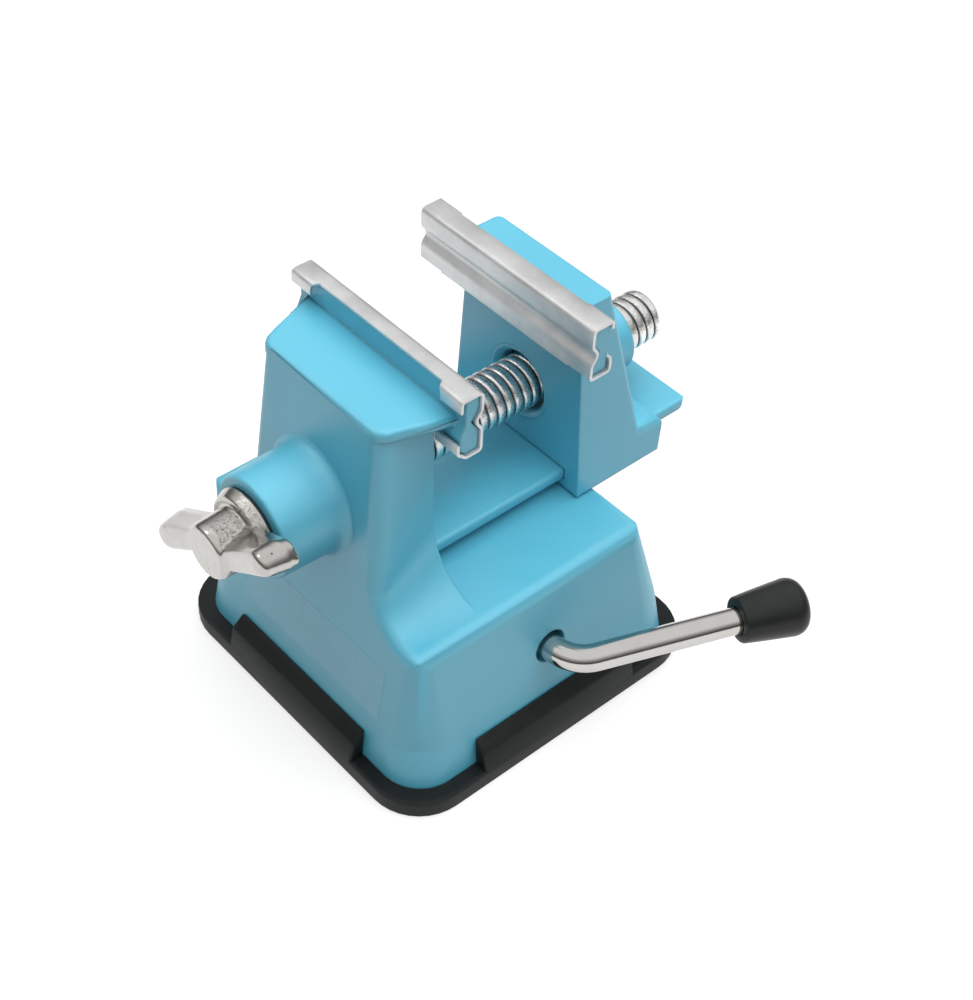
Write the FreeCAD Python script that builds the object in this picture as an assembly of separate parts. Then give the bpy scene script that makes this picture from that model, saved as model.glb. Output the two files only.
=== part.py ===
import FreeCAD, Part
import math
import os

from FreeCAD import Placement, Rotation, Vector

# A small bench vise that holds itself down with a suction pad and a lever.
# Millimetres, +Z up.  The origin is the middle of the pad's underside, on the bench.
# +Y runs along the lead screw, from its wing handle to its free end.
# +X points to the side where the suction lever comes out.

# ---- driving dimensions -------------------------------------------------------------

# fits
running_fit = 0.08          # round parts that turn in a bore, radial
slide_fit = 0.3             # moving jaw on its rail
press_fit = 0.02            # parts cast, pressed or crimped on another of the same body
sheet_fit = 0.15            # bent jaw cover over its moulded bar
under_block = 0.5           # moving jaw over the deck

# suction pad
pad_side = 70.0
pad_corner = 10.2
pad_thickness = 3.6
diaphragm = 1.8
clip_length = 36.0
clip_top = 9.7
clip_setback = 0.5
clip_lean = 0.5
clip_bevel_run = 2.5
clip_bevel_drop = 2.2
seat_wall = 1.8

# housing, lower part
base_inset = 3.0
base_corner = 8.0
brim_top = 12.0
brim_lean = 1.0
deck_top = 34.4
deck_half = 29.0
deck_rear = 22.3
deck_corner = 3.0
least_corner = 0.3          # inside corners of the hollow are at least this round
deck_rounding = 2.6
wall = 2.5

# housing, tower that carries the fixed jaw
front_slope = 0.087
tower_rear = -13.6
tower_front_top_half = 15.2
tower_front_foot_half = 18.5
tower_rear_top_half = 13.9
tower_rear_foot_half = 14.6
front_foot_radius = 7.5
rear_foot_radius = 12.0
foot_overlap = 2.0
foot_lip = 0.4              # how far the rear end of the tower's foot runs past the front end
foot_share = 0.98           # most of the deck beside the tower that its foot takes up
tower_rounding = 2.6        # tower's front edges, and the deck's front edge that they run into
rounding_chords = 4         # bevels that make up that rounding
rounding_reach = 3.5        # how far the tool that cuts it stands out, in roundings
chord_overrun = 0.2         # share of the outer bevels' width that passes out of the walls
foot_sections = 5           # how finely it follows the tower's sweeping foot
tower_roof = 4.5
shelf_drop = 5.0            # shelf below the top of the jaws
shelf_thickness = 2.0
shelf_front_half = 15.0
shelf_rear_half = 19.1
shelf_overlap = 0.4         # shelf into the back of the fixed bar

# lead screw and the bearing boss at the front
screw_rise = 16.2           # screw above the deck
screw_radius = 5.0
screw_rear = 48.7
screw_chamfer = 1.0
screw_in_handle = 0.6
stub_radius = 3.0
stub_setback = 2.0          # end of the screw's thin stub inside the handle's nose
boss_front = -39.8
boss_radius = 9.3
boss_root_radius = 9.8
boss_flare = 1.4
flare_overlap = 0.4         # narrow end of the flare inside the boss
boss_rim = 0.6

# rings on the lead screw
thrust_washer_thickness = 0.5
thrust_washer_radius = 7.4
keeper_seat_depth = 1.4     # inner boss, from the inside of the front wall to the keeper washer
keeper_boss_radius = 9.4
keeper_washer_thickness = 0.7
keeper_washer_radius = 8.5
keeper_groove_depth = 1.0
keeper_thickness = 1.0
keeper_radius = 7.6
keeper_mouth = 6.0

# wing handle; the wings' edges stand above or below their middle line, at the hub and the tip
handle_nose = -48.8
hub_nose_radius = 4.85
hub_radius = 5.2
hub_nose_chamfer = 0.4
wing_front = -48.0
wing_rear = -42.0
wing_root = 3.0
wing_front_reach = 17.3
wing_rear_reach = 17.65
wing_tip_lean = 0.3
wing_front_upper_hub = 0.6
wing_front_upper_tip = 2.3
wing_front_lower_hub = -3.0
wing_front_lower_tip = -1.6
wing_rear_upper_hub = 2.9
wing_rear_upper_tip = 1.9
wing_rear_lower_hub = -3.3
wing_rear_lower_tip = -2.5
wing_upper_corner = 1.9
wing_lower_corner = 1.3
wing_tilt = 29.0
flange_front_radius = 6.8
flange_radius = 7.8
flange_length = 2.1

# rail that the moving jaw rides on
rail_half = 12.8
rail_rise = 4.4             # rail top above the deck
rail_flange = 2.0
rail_neck_half = 8.5
rail_rear = 50.0
rail_end_lean = 1.6
rail_corner = 3.5
rail_edge = 0.7

# jaws; drops are measured down from their top
jaw_rise = 27.3             # top of the jaws above the screw
grip_half = 21.4
jaw_opening = 22.86
fixed_grip_y = -9.9
sheet = 0.55
ear_length = 5.5
bar_end_setback = 0.5
groove_drop = 5.65
groove_depth = 1.4
groove_half_height = 1.9
fixed_bar_depth = 3.2
fixed_bar_lobe = 4.3
fixed_bar_lobe_drop = 8.1
fixed_bar_chamfer = 1.0
fixed_bar_height = 11.6
fixed_plate_lap = 0.2       # plain part of the cover past the back of its bar
fixed_tab_slack = 0.8
fixed_tab_drop = 2.5
fixed_ear_slack = 0.27
fixed_ear_drop = 8.7
moving_bar_depth = 4.0
moving_bar_height = 10.1
moving_plate_lap = 0.1
moving_tab_drop = 1.7
moving_ear_swell = 0.17
moving_ear_swell_rise = 1.4
moving_ear_drop = 7.7

# moving jaw column and block
column_setback = 0.74       # column behind the back of the moving bar
column_step = 2.6           # column top below the jaw top
column_top_depth = 6.8
column_rear_slope = 0.256
column_top_half = 14.2
column_foot_half = 16.65
column_rounding = 1.2
web_overlap = 0.5           # web between bar and column, into each of them
block_length = 20.1
block_rise = 8.1            # block top above the deck
block_rear_lean = 0.95
block_rounding = 2.0
column_hole_radius = 6.9
column_hole_lip = 0.5
nut_setback = 3.6
rear_boss_radius = 7.0
rear_boss_reach = 21.6
rear_boss_clearance = 0.3

# jaw nut
nut_side = 16.0
nut_thickness = 5.0
nut_corner = 1.2
nut_fit = 0.12

# lever, cam and plunger
lever_z = 20.0
rod_radius = 2.5
rod_inner_end = -19.0
rod_bend_x = 35.5
rod_bend_radius = 7.0
arm_splay = 21.0
arm_to_knob = 31.75
rod_in_knob = 8.5
knob_length = 12.9
knob_rim_radius = 4.3
knob_flare = 0.103          # growth of the knob's radius along it
knob_rim_chamfer = 0.4
knob_crown = 2.3            # rounding of the knob's end, made of a few bevels
knob_crown_bevels = 3
rod_hole_radius = 3.3
web_x = 13.0
web_thickness = 3.0
web_half = 9.0
web_bottom = 13.5
cam_radius = 6.0
cam_offset = 1.4
cam_width = 8.0
cam_pin_radius = 0.8
cam_pin_setback = 0.6
rod_washer_thickness = 0.7
rod_washer_radius = 5.0
rod_clip_radius = 4.6
rod_clip_thickness = 0.8
yoke_clearance = 0.45
yoke_side = 2.4
yoke_bar = 2.2
yoke_corner = 1.5
yoke_guide = 2.0
yoke_guide_gap = 0.35
yoke_boss_height = 2.6
yoke_boss_radius = 4.0
stud_setback = 0.8          # top of the stud below the yoke's window
stud_radius = 2.0
stud_head_radius = 3.6
stud_head = 1.2
disc_radius = 11.0
disc_thickness = 1.6

# ---- values that follow from them ---------------------------------------------------

base_half = pad_side / 2 - base_inset
crease_half = base_half - brim_lean
screw_z = deck_top + screw_rise
jaw_top = screw_z + jaw_rise
shelf_top = jaw_top - shelf_drop
groove_z = jaw_top - groove_drop
rail_top = deck_top + rail_rise
rail_under = rail_top - rail_flange
moving_grip_y = fixed_grip_y + jaw_opening
column_front = moving_grip_y + moving_bar_depth + column_setback
column_top = jaw_top - column_step
column_rear_top = column_front + column_top_depth
block_bottom = deck_top + under_block
block_top = deck_top + block_rise
block_rear = column_front + block_length
bar_half = grip_half - bar_end_setback
bar_face = sheet + sheet_fit
bar_top = jaw_top - bar_face
sheet_middle = sheet / 2 + sheet_fit
fixed_bar_bottom = jaw_top - fixed_bar_height
moving_bar_bottom = jaw_top - moving_bar_height
bore_radius = screw_radius + running_fit
web_bore_radius = rod_radius + running_fit
roof_z = shelf_top - tower_roof
nut_front = column_front + nut_setback
cam_z = lever_z - cam_offset
yoke_window_half_z = cam_radius + yoke_clearance
yoke_window_half_y = cam_radius + cam_offset + yoke_clearance
yoke_half_y = yoke_window_half_y + yoke_side
yoke_top = cam_z + yoke_window_half_z + yoke_bar
yoke_bottom = cam_z - yoke_window_half_z - yoke_bar
stud_top = cam_z - yoke_window_half_z - stud_setback
disc_top = diaphragm + disc_thickness
flange_rear = boss_front - thrust_washer_thickness
flange_front = flange_rear - flange_length
shoulder = flange_front + screw_in_handle
stub_end = handle_nose + stub_setback
splay = math.radians(arm_splay)
arm_direction = Vector(math.sin(splay), math.cos(splay), 0)
arm_corner = Vector(rod_bend_x, 0, lever_z)
knob_start = arm_corner + arm_direction * arm_to_knob
knob_end = knob_start + arm_direction * knob_length

X = Vector(1, 0, 0)
Y = Vector(0, 1, 0)
Z = Vector(0, 0, 1)


def front_y(z):
    """The flat front of base and tower, which leans back as it rises."""
    return -crease_half + front_slope * (z - brim_top)


def keeper_seat():
    """Y of the face of the inner boss, where the keeper washer bears."""
    return front_y(screw_z) + wall + keeper_seat_depth


# ---- building blocks ----------------------------------------------------------------

def at_x(x, pairs):
    return [Vector(x, y, z) for y, z in pairs]


def at_y(y, pairs):
    return [Vector(x, y, z) for x, z in pairs]


def at_z(z, pairs):
    return [Vector(x, y, z) for x, y in pairs]


def toward(start, end):
    way = end.sub(start)
    way.normalize()
    return way


def rounded_wire(corners, radii=0.0):
    """A closed wire through flat corners, each rounded by its radius."""
    count = len(corners)
    if not isinstance(radii, (list, tuple)):
        radii = [radii] * count
    bends = []
    for i, corner in enumerate(corners):
        back = toward(corner, corners[i - 1])
        ahead = toward(corner, corners[(i + 1) % count])
        half = back.getAngle(ahead) / 2
        reach = radii[i] / math.tan(half)
        middle = toward(Vector(), back + ahead)
        dip = radii[i] / math.sin(half) - radii[i]
        bends.append((corner + back * reach, corner + middle * dip, corner + ahead * reach))
    edges = []
    for i, (first, mid, last) in enumerate(bends):
        if radii[i] > 0:
            edges.append(Part.Arc(first, mid, last).toShape())
        after = bends[(i + 1) % count][0]
        if last.distanceToPoint(after) > 1e-6:
            edges.append(Part.LineSegment(last, after).toShape())
    return Part.Wire(edges)


def prism(corners, way, radii=0.0):
    """A flat outline pushed along a vector."""
    return Part.Face(rounded_wire(corners, radii)).extrude(way)


def rectangle(x_half, y_low, y_high, z, radius):
    corners = at_z(z, [(-x_half, y_low), (x_half, y_low), (x_half, y_high), (-x_half, y_high)])
    return rounded_wire(corners, radius)


def block(x_low, x_high, y_low, y_high, z_low, z_high):
    size = (x_high - x_low, y_high - y_low, z_high - z_low)
    return Part.makeBox(*size, Vector(x_low, y_low, z_low))


def ruled(first, second):
    return Part.makeLoft([first, second], True, True)


def along_y(radius, y_low, y_high, z=screw_z):
    """A round bar or bore that lies along Y."""
    return Part.makeCylinder(radius, y_high - y_low, Vector(0, y_low, z), Y)


def along_x(radius, x_low, x_high, z=lever_z):
    """A round bar or bore that lies along X."""
    return Part.makeCylinder(radius, x_high - x_low, Vector(x_low, 0, z), X)


def upright(radius, z_low, z_high):
    return Part.makeCylinder(radius, z_high - z_low, Vector(0, 0, z_low), Z)


def fused(first, *others):
    return first.fuse(list(others)).removeSplitter()


def edges_where(shape, test):
    """Edges whose middle passes the test."""
    chosen = []
    for edge in shape.Edges:
        middle = edge.valueAt((edge.FirstParameter + edge.LastParameter) / 2)
        if test(middle, edge):
            chosen.append(edge)
    return chosen


def is_near(value, target):
    return abs(value - target) < 0.05


def bent_sheet(line, x_low, x_high):
    """Sheet metal of constant thickness that follows a (y, z) line, between two X planes."""
    left, right = [], []
    for i, (y, z) in enumerate(line):
        normals = []
        for a, b in ((i - 1, i), (i, i + 1)):
            if a < 0 or b >= len(line):
                continue
            dy = line[b][0] - line[a][0]
            dz = line[b][1] - line[a][1]
            length = math.hypot(dy, dz)
            normals.append((-dz / length, dy / length))
        ny = sum(n[0] for n in normals) / len(normals)
        nz = sum(n[1] for n in normals) / len(normals)
        scale = sheet / 2 / (ny * ny + nz * nz)
        left.append((y + ny * scale, z + nz * scale))
        right.append((y - ny * scale, z - nz * scale))
    return prism(at_x(x_low, left + right[::-1]), X * (x_high - x_low))


def mirrored_x(shape):
    return shape.mirror(Vector(), X)


# ---- suction pad --------------------------------------------------------------------

def pad_clip():
    """Upright lip that grips one side of the housing's brim, here the front one."""
    foot = pad_side / 2 - clip_setback
    crest = foot - clip_lean
    rise = (clip_top - pad_thickness) / (brim_top - pad_thickness)
    inner_foot = base_half + press_fit
    inner_top = inner_foot - brim_lean * rise
    overlap = pad_thickness - diaphragm
    corners = [(-foot, pad_thickness - overlap), (-foot, pad_thickness),
               (-crest, clip_top - clip_bevel_drop), (-crest + clip_bevel_run, clip_top),
               (-inner_top, clip_top), (-inner_foot, pad_thickness),
               (-inner_foot, pad_thickness - overlap)]
    return prism(at_x(-clip_length / 2, corners), X * clip_length)


def suction_pad():
    half = pad_side / 2
    sheet_outline = rectangle(half, -half, half, 0, pad_corner)
    pad = Part.Face(sheet_outline).extrude(Z * pad_thickness)
    room = base_half - wall
    hollow = Part.Face(rectangle(room, -room, room, diaphragm, base_corner - wall))
    pad = pad.cut(hollow.extrude(Z * pad_thickness))
    seat_bore = disc_radius + press_fit
    seat = upright(seat_bore + seat_wall, diaphragm / 2, disc_top)
    seat = seat.cut(upright(seat_bore, diaphragm, disc_top + 1))
    clips = []
    for turn in range(4):
        clip = pad_clip()
        clip.rotate(Vector(), Z, 90 * turn)
        clips.append(clip)
    return fused(pad, seat, *clips)


# ---- housing ------------------------------------------------------------------------

def corner_shaving(low, high, low_radius, high_radius):
    """What a cone takes off the leaning corner edge that runs from low up to high.

    The cone touches both walls.  Its radius goes evenly from low_radius to high_radius.
    """
    edge = toward(high, low)
    side_wall = toward(Vector(), edge.cross(Y))
    if side_wall.x * low.x < 0:
        side_wall = -side_wall
    end_wall = toward(Vector(), edge.cross(X))
    if end_wall.y * low.y < 0:
        end_wall = -end_wall
    low_middle = low - Vector(low_radius / side_wall.x, low_radius / end_wall.y, 0)
    high_middle = high - Vector(high_radius / side_wall.x, high_radius / end_wall.y, 0)
    axis = low_middle - high_middle
    sine = (low_radius - high_radius) / axis.Length
    apex = high_middle - axis * (high_radius / (low_radius - high_radius))
    axis.normalize()
    reach = 2 * low_middle.distanceToPoint(apex)
    cone = Part.makeCone(0, reach * math.tan(math.asin(sine)), reach)
    cone.Placement = Placement(apex, Rotation(-side_wall - end_wall, Vector(), axis, "ZXY"))
    touches = [apex + toward(Vector(), axis + wall_normal * sine) * reach
               for wall_normal in (side_wall, end_wall)]
    outside = apex + edge * reach + (side_wall + end_wall) * low_radius
    foot = [touches[0], touches[1], outside]
    faces = [Part.Face(Part.makePolygon([apex, a, b, apex])) for a, b in
             zip(foot, foot[1:] + foot[:1])]
    faces.append(Part.Face(Part.makePolygon(foot + foot[:1])))
    wedge = Part.makeSolid(Part.makeShell(faces))
    if wedge.Volume < 0:
        wedge.reverse()
    return wedge.cut(cone)


def base_form(inset, top):
    """Brim and leaning walls, drawn in by an inset, up to a level."""
    foot = base_half - inset
    crease = crease_half - inset
    brim_corner = base_corner - inset
    top_corner = max(deck_corner - inset, least_corner)
    deck = deck_half - inset
    deck_ends = {-1: front_y(deck_top) + inset, 1: deck_rear - inset}
    upper = ruled(rectangle(crease, -crease, crease, brim_top, 0),
                  rectangle(deck, deck_ends[-1], deck_ends[1], deck_top, 0))
    for side in (-1, 1):
        for end in (-1, 1):
            low = Vector(side * crease, end * crease, brim_top)
            high = Vector(side * deck, deck_ends[end], deck_top)
            upper = upper.cut(corner_shaving(low, high, brim_corner, top_corner))
    crease_face = min(upper.Faces, key=lambda face: face.CenterOfMass.z)
    lower = ruled(rectangle(foot, -foot, foot, pad_thickness, brim_corner),
                  crease_face.OuterWire)
    both = lower.fuse(upper)
    return both.common(block(-pad_side, pad_side, -pad_side, pad_side, pad_thickness, top))


def soft_deck(base):
    """Rounds the deck's two sides and its rear edge, and leaves the front edge crisp."""
    r = deck_rounding
    half = deck_half
    wide = pad_side
    low = pad_thickness
    side_run = (crease_half - deck_half) / (deck_top - brim_top)
    foot_half = deck_half + side_run * (deck_top - low)
    across = [(-half, deck_top), (half, deck_top), (foot_half, low), (-foot_half, low)]
    sides = prism(at_y(-wide, across), Y * 2 * wide, [r, r, 0, 0])
    rear_run = (crease_half - deck_rear) / (deck_top - brim_top)
    foot_rear = deck_rear + rear_run * (deck_top - low)
    lengthwise = [(-wide, deck_top), (deck_rear, deck_top), (foot_rear, low), (-wide, low)]
    rear = prism(at_x(-wide, lengthwise), X * 2 * wide, [0, r, 0, 0])
    lower = base.common(block(-wide, wide, -wide, wide, low, brim_top))
    upper = base.common(block(-wide, wide, -wide, wide, brim_top, deck_top))
    return fused(lower, upper.common(sides).common(rear))


def tower_outline(y_of, top_half, foot_half, foot_radius, foot_reach):
    """One end of the tower: straight sides that sweep out into the deck.

    The sweep's radius is limited by the deck that is left beside the tower.
    """
    low = deck_top - foot_overlap
    right = [(foot_reach, low), (foot_reach, deck_top), (foot_half, deck_top),
             (top_half, shelf_top)]
    pairs = right + [(-x, z) for x, z in reversed(right)]
    corners = [Vector(x, y_of(z), z) for x, z in pairs]
    reach, foot, top = corners[1:4]
    half_angle = toward(foot, reach).getAngle(toward(foot, top)) / 2
    room = (foot_reach - foot_half) * math.tan(half_angle) * foot_share
    radius = min(foot_radius, room)
    radii = [0, 0, radius, 0, 0, radius, 0, 0]
    return rounded_wire(corners, radii)


def tower_ends():
    """Outlines of the tower's front and rear."""
    reach = deck_half - deck_rounding
    front = tower_outline(front_y, tower_front_top_half, tower_front_foot_half,
                          front_foot_radius, reach)
    rear = tower_outline(lambda z: tower_rear, tower_rear_top_half, tower_rear_foot_half,
                         rear_foot_radius, reach + foot_lip)
    return front, rear


def rounding_section(corner, wall, other_wall):
    """What rounding an edge takes off at one place, between two walls given by their normals."""
    r = tower_rounding
    centre = corner - (wall + other_wall) * (r / (1 + wall.dot(other_wall)))
    turn = wall.getAngle(other_wall)
    points = []
    for step in range(rounding_chords + 1):
        share = turn * step / rounding_chords
        way = (wall * math.sin(turn - share) + other_wall * math.sin(share)) * (1 / math.sin(turn))
        points.append(centre + way * r)
    points[0] = points[0] + (points[0] - points[1]) * chord_overrun
    points[-1] = points[-1] + (points[-1] - points[-2]) * chord_overrun
    reach = rounding_reach * r
    points += [centre + other_wall * reach, centre + wall * reach]
    return Part.makePolygon(points + points[:1])


def tower_edge_shaving():
    """Sweep that rounds the deck's front edge, the tower's foot and its front edge, on the right."""
    front, rear = tower_ends()
    outward = toward(Vector(), Vector(0, -1, front_slope))
    level, foot, side = range(1, 4)
    stops = [(level, 0), (level, 1)]
    stops += [(foot, step / foot_sections) for step in range(1, foot_sections + 1)]
    stops.append((side, 1))
    sections = []
    for number, share in stops:
        edge, partner = front.Edges[number], rear.Edges[number]
        spots = [e.valueAt(e.FirstParameter + share * (e.LastParameter - e.FirstParameter))
                 for e in (edge, partner)]
        along = edge.tangentAt(edge.FirstParameter + share * (edge.LastParameter - edge.FirstParameter))
        wall = toward(Vector(), along.cross(spots[1] - spots[0]))
        if wall.dot(X + Z) < 0:
            wall = -wall
        run_out = 2 * tower_rounding
        if not sections:
            spots[0] = spots[0] - along * run_out
        elif number == side:
            sections.append(rounding_section(spots[0], outward, wall))
            spots[0] = spots[0] + along * run_out
        sections.append(rounding_section(spots[0], outward, wall))
    return Part.makeLoft(sections, True, True)


def tower_room():
    """Hollow of the tower, open to the hollow base."""
    low = deck_top - wall - 1

    def trapezium(y_of, top_half, foot_half):
        run = (foot_half - top_half) / (shelf_top - deck_top)
        halves = [(z, top_half + run * (shelf_top - z) - wall) for z in (low, roof_z)]
        (z0, h0), (z1, h1) = halves
        return Part.makePolygon([Vector(-h0, y_of(z0), z0), Vector(h0, y_of(z0), z0),
                                 Vector(h1, y_of(z1), z1), Vector(-h1, y_of(z1), z1),
                                 Vector(-h0, y_of(z0), z0)])

    front = trapezium(lambda z: front_y(z) + wall, tower_front_top_half, tower_front_foot_half)
    rear = trapezium(lambda z: tower_rear - wall, tower_rear_top_half, tower_rear_foot_half)
    return ruled(front, rear)


def front_boss():
    """Bearing boss for the lead screw, on the tower's front, with a flare at its root."""
    face = front_y(screw_z)
    root = face + wall / 2
    boss = Part.makeCone(boss_radius, boss_root_radius, root - boss_front,
                         Vector(0, boss_front, screw_z), Y)
    rim = edges_where(boss, lambda p, e: is_near(p.y, boss_front))
    boss = boss.makeChamfer(boss_rim, rim)
    outward = toward(Vector(), Vector(0, -1, front_slope))
    inner = boss_root_radius - boss_flare * front_slope - flare_overlap
    flare_length = boss_flare + flare_overlap + wall / 2
    flare = Part.makeCone(inner + flare_length, inner, flare_length,
                          Vector(0, face, screw_z) - outward * (wall / 2), outward)
    inside = along_y(keeper_boss_radius, root, keeper_seat())
    return [boss, flare, inside]


def shelf():
    """Flat top of the tower, which flares out toward the fixed jaw."""
    front = front_y(shelf_top)
    back = fixed_grip_y - fixed_bar_depth + shelf_overlap
    corners = [(-shelf_front_half, front), (shelf_front_half, front), (shelf_rear_half, back),
               (-shelf_rear_half, back)]
    low = shelf_top - shelf_thickness
    plate = prism(at_z(low, corners), Z * shelf_thickness)
    front_wall = prism(at_x(-grip_half, [(front_y(low), low), (front_y(shelf_top), shelf_top),
                                         (0, shelf_top), (0, low)]), X * 2 * grip_half)
    return plate.common(front_wall)


def jaw_bar(grip_y, way, depth, bottom, lobe=None):
    """Moulded bar with a V groove along its grip side.  way is where the bar's back lies."""
    lean = math.atan2(groove_depth, groove_half_height)
    g = groove_half_height + sheet_middle * math.tan(lean / 2)
    groove = sheet / 2 + groove_depth + sheet_middle / math.cos(lean)
    line = [(depth, bar_top), (bar_face, bar_top), (bar_face, groove_z + g),
            (groove, groove_z), (bar_face, groove_z - g), (bar_face, bottom)]
    if lobe:
        line += [(lobe - fixed_bar_chamfer, bottom), (lobe, bottom + fixed_bar_chamfer),
                 (lobe, jaw_top - fixed_bar_lobe_drop), (depth, groove_z)]
    else:
        line.append((depth, bottom))
    pairs = [(grip_y + way * d, z) for d, z in line]
    return prism(at_x(-bar_half, pairs), X * 2 * bar_half)


def rail():
    """T rail along the deck, which runs on past the deck's rear edge."""
    start = tower_rear - wall / 2
    length = rail_rear - start
    flange = prism(at_y(start, [(-rail_half, rail_under), (rail_half, rail_under),
                                (rail_half, rail_top), (-rail_half, rail_top)]),
                   Y * length, [0, 0, rail_edge, rail_edge])
    neck = block(-rail_neck_half, rail_neck_half, start, rail_rear, deck_top - wall / 2, rail_under)
    plan = prism(at_z(0, [(-rail_half, start), (rail_half, start), (rail_half, rail_rear),
                          (-rail_half, rail_rear)]), Z * jaw_top,
                 [0, 0, rail_corner, rail_corner])
    low = deck_top
    end = prism(at_x(-pad_side, [(start, low - wall), (rail_rear, low - wall), (rail_rear, low),
                                 (rail_rear - rail_end_lean, rail_top), (start, rail_top)]),
                X * 2 * pad_side)
    return flange.fuse(neck).common(plan).common(end)


def lever_bearings():
    """Two webs under the deck that carry the lever rod, and two fins that guide the yoke."""
    pieces = []
    for side in (-1, 1):
        x = side * web_x
        pieces.append(block(x - web_thickness / 2, x + web_thickness / 2, -web_half, web_half,
                            web_bottom, deck_top - wall / 2))
        fin = yoke_half_y + yoke_guide_gap
        low, high = sorted((side * fin, side * (fin + yoke_guide)))
        pieces.append(block(-cam_width / 2, cam_width / 2, low, high,
                            web_bottom, deck_top - wall / 2))
    return pieces


def housing():
    outer_boss, flare, inner_boss = front_boss()
    bar = jaw_bar(fixed_grip_y, -1, fixed_bar_depth, fixed_bar_bottom, fixed_bar_lobe)
    shaving = tower_edge_shaving()
    body = fused(soft_deck(base_form(0, deck_top)), ruled(*tower_ends()))
    body = body.cut([shaving, mirrored_x(shaving)])
    body = fused(body, outer_boss, flare, shelf(), bar, rail())
    body = body.cut(base_form(wall, deck_top - wall))
    body = body.cut(tower_room())
    body = fused(body, inner_boss, *lever_bearings())
    body = body.cut(along_y(bore_radius, boss_front - 1, tower_rear + 1))
    body = body.cut(along_x(web_bore_radius, -web_x - web_thickness, web_x + web_thickness))
    body = body.cut(along_x(rod_hole_radius, web_x + web_thickness, pad_side))
    return body.removeSplitter()


# ---- jaw covers ---------------------------------------------------------------------

def jaw_cover(grip_y, way, plate_depth, tab, foot, ears):
    """Bent metal cover: one plate over top and grip side, and ears that hook round the bar.

    tab, foot and ears are (depth, height) points of the sheet's middle line.
    """
    half = sheet / 2
    top = jaw_top - half
    g = groove_half_height
    face = [(half, top), (half, groove_z + g), (half + groove_depth, groove_z),
            (half, groove_z - g), (half, foot)]

    def strip(line, x_low, x_high):
        return bent_sheet([(grip_y + way * d, z) for d, z in line], x_low, x_high)

    plate = strip([(plate_depth, top)] + face, -grip_half, grip_half)
    inner = grip_half - ear_length
    ear = strip([tab, (tab[0], top)] + face + ears, inner, grip_half)
    return fused(plate, ear, mirrored_x(ear))


def fixed_jaw_cover():
    foot = fixed_bar_bottom - sheet_middle
    back = fixed_bar_lobe + sheet_middle + fixed_ear_slack
    ears = [(fixed_bar_lobe - fixed_bar_chamfer, foot), (back, fixed_bar_bottom + fixed_bar_chamfer),
            (back, jaw_top - fixed_ear_drop)]
    tab = (fixed_bar_depth + sheet_middle + fixed_tab_slack, jaw_top - fixed_tab_drop)
    return jaw_cover(fixed_grip_y, -1, fixed_bar_depth + fixed_plate_lap, tab, foot, ears)


def moving_jaw_cover():
    foot = moving_bar_bottom - sheet_middle
    back = moving_bar_depth + sheet_middle
    ears = [(back, foot), (back + moving_ear_swell, foot + moving_ear_swell_rise),
            (back, jaw_top - moving_ear_drop)]
    tab = (back, jaw_top - moving_tab_drop)
    return jaw_cover(moving_grip_y, 1, moving_bar_depth + moving_plate_lap, tab, foot, ears)


# ---- moving jaw ---------------------------------------------------------------------

def column():
    """Tapered column and the block it stands on, both trimmed by the same leaning flanks."""
    rear_base = column_rear_top + column_rear_slope * (column_top - block_bottom)
    wide = pad_side / 2
    ends = [(-column_foot_half, block_bottom), (column_foot_half, block_bottom),
            (column_top_half, column_top), (-column_top_half, column_top)]
    flanks = prism(at_y(0, ends), Y * pad_side)

    def trimmed(side):
        return prism(at_x(-wide, side), X * 2 * wide).common(flanks)

    def is_rear_corner(p, e):
        return block_bottom + 1 < p.z < column_top - 1 and p.y > column_rear_top + 0.5

    def is_top_edge(p, e):
        return is_near(p.z, block_top) and p.y > column_front + 1

    post = trimmed([(column_front, block_bottom), (rear_base, block_bottom),
                    (column_rear_top, column_top), (column_front, column_top)])
    post = post.makeFillet(column_rounding, edges_where(post, is_rear_corner))
    foot = trimmed([(column_front, block_bottom), (block_rear, block_bottom),
                    (block_rear + block_rear_lean, block_top), (column_front, block_top)])
    foot = foot.makeFillet(block_rounding, edges_where(foot, is_top_edge))
    return fused(post, foot)


def nut_pocket():
    half = nut_side / 2 + nut_fit
    return block(-half, half, nut_front - nut_fit, nut_front + nut_thickness + nut_fit,
                 block_bottom - 1, screw_z + half)


def rail_slot():
    flange = block(-rail_half - slide_fit, rail_half + slide_fit, column_front - 1,
                   block_rear + 1, rail_under - slide_fit, rail_top + slide_fit)
    neck = block(-rail_neck_half - slide_fit, rail_neck_half + slide_fit, column_front - 1,
                 block_rear + 1, block_bottom - 1, rail_under)
    return flange.fuse(neck)


def moving_jaw():
    body = column()
    bar = jaw_bar(moving_grip_y, 1, moving_bar_depth, moving_bar_bottom)
    web = block(-column_top_half, column_top_half, moving_grip_y + moving_bar_depth - web_overlap,
                column_front + web_overlap, moving_bar_bottom, column_top)
    boss_end = column_front + rear_boss_reach
    boss = along_y(rear_boss_radius, column_front + nut_setback, boss_end)
    body = fused(body, bar, web, boss)
    body = body.cut(rail_slot())
    body = body.cut(nut_pocket())
    body = body.cut(along_y(screw_radius + rear_boss_clearance, column_front + nut_setback,
                            boss_end + 1))
    body = body.cut(along_y(column_hole_radius, column_front - 1, nut_front))
    mouth = column_hole_radius + column_hole_lip
    body = body.cut(Part.makeCone(mouth, column_hole_radius, column_hole_lip,
                                  Vector(0, column_front, screw_z), Y))
    return body.removeSplitter()


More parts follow.
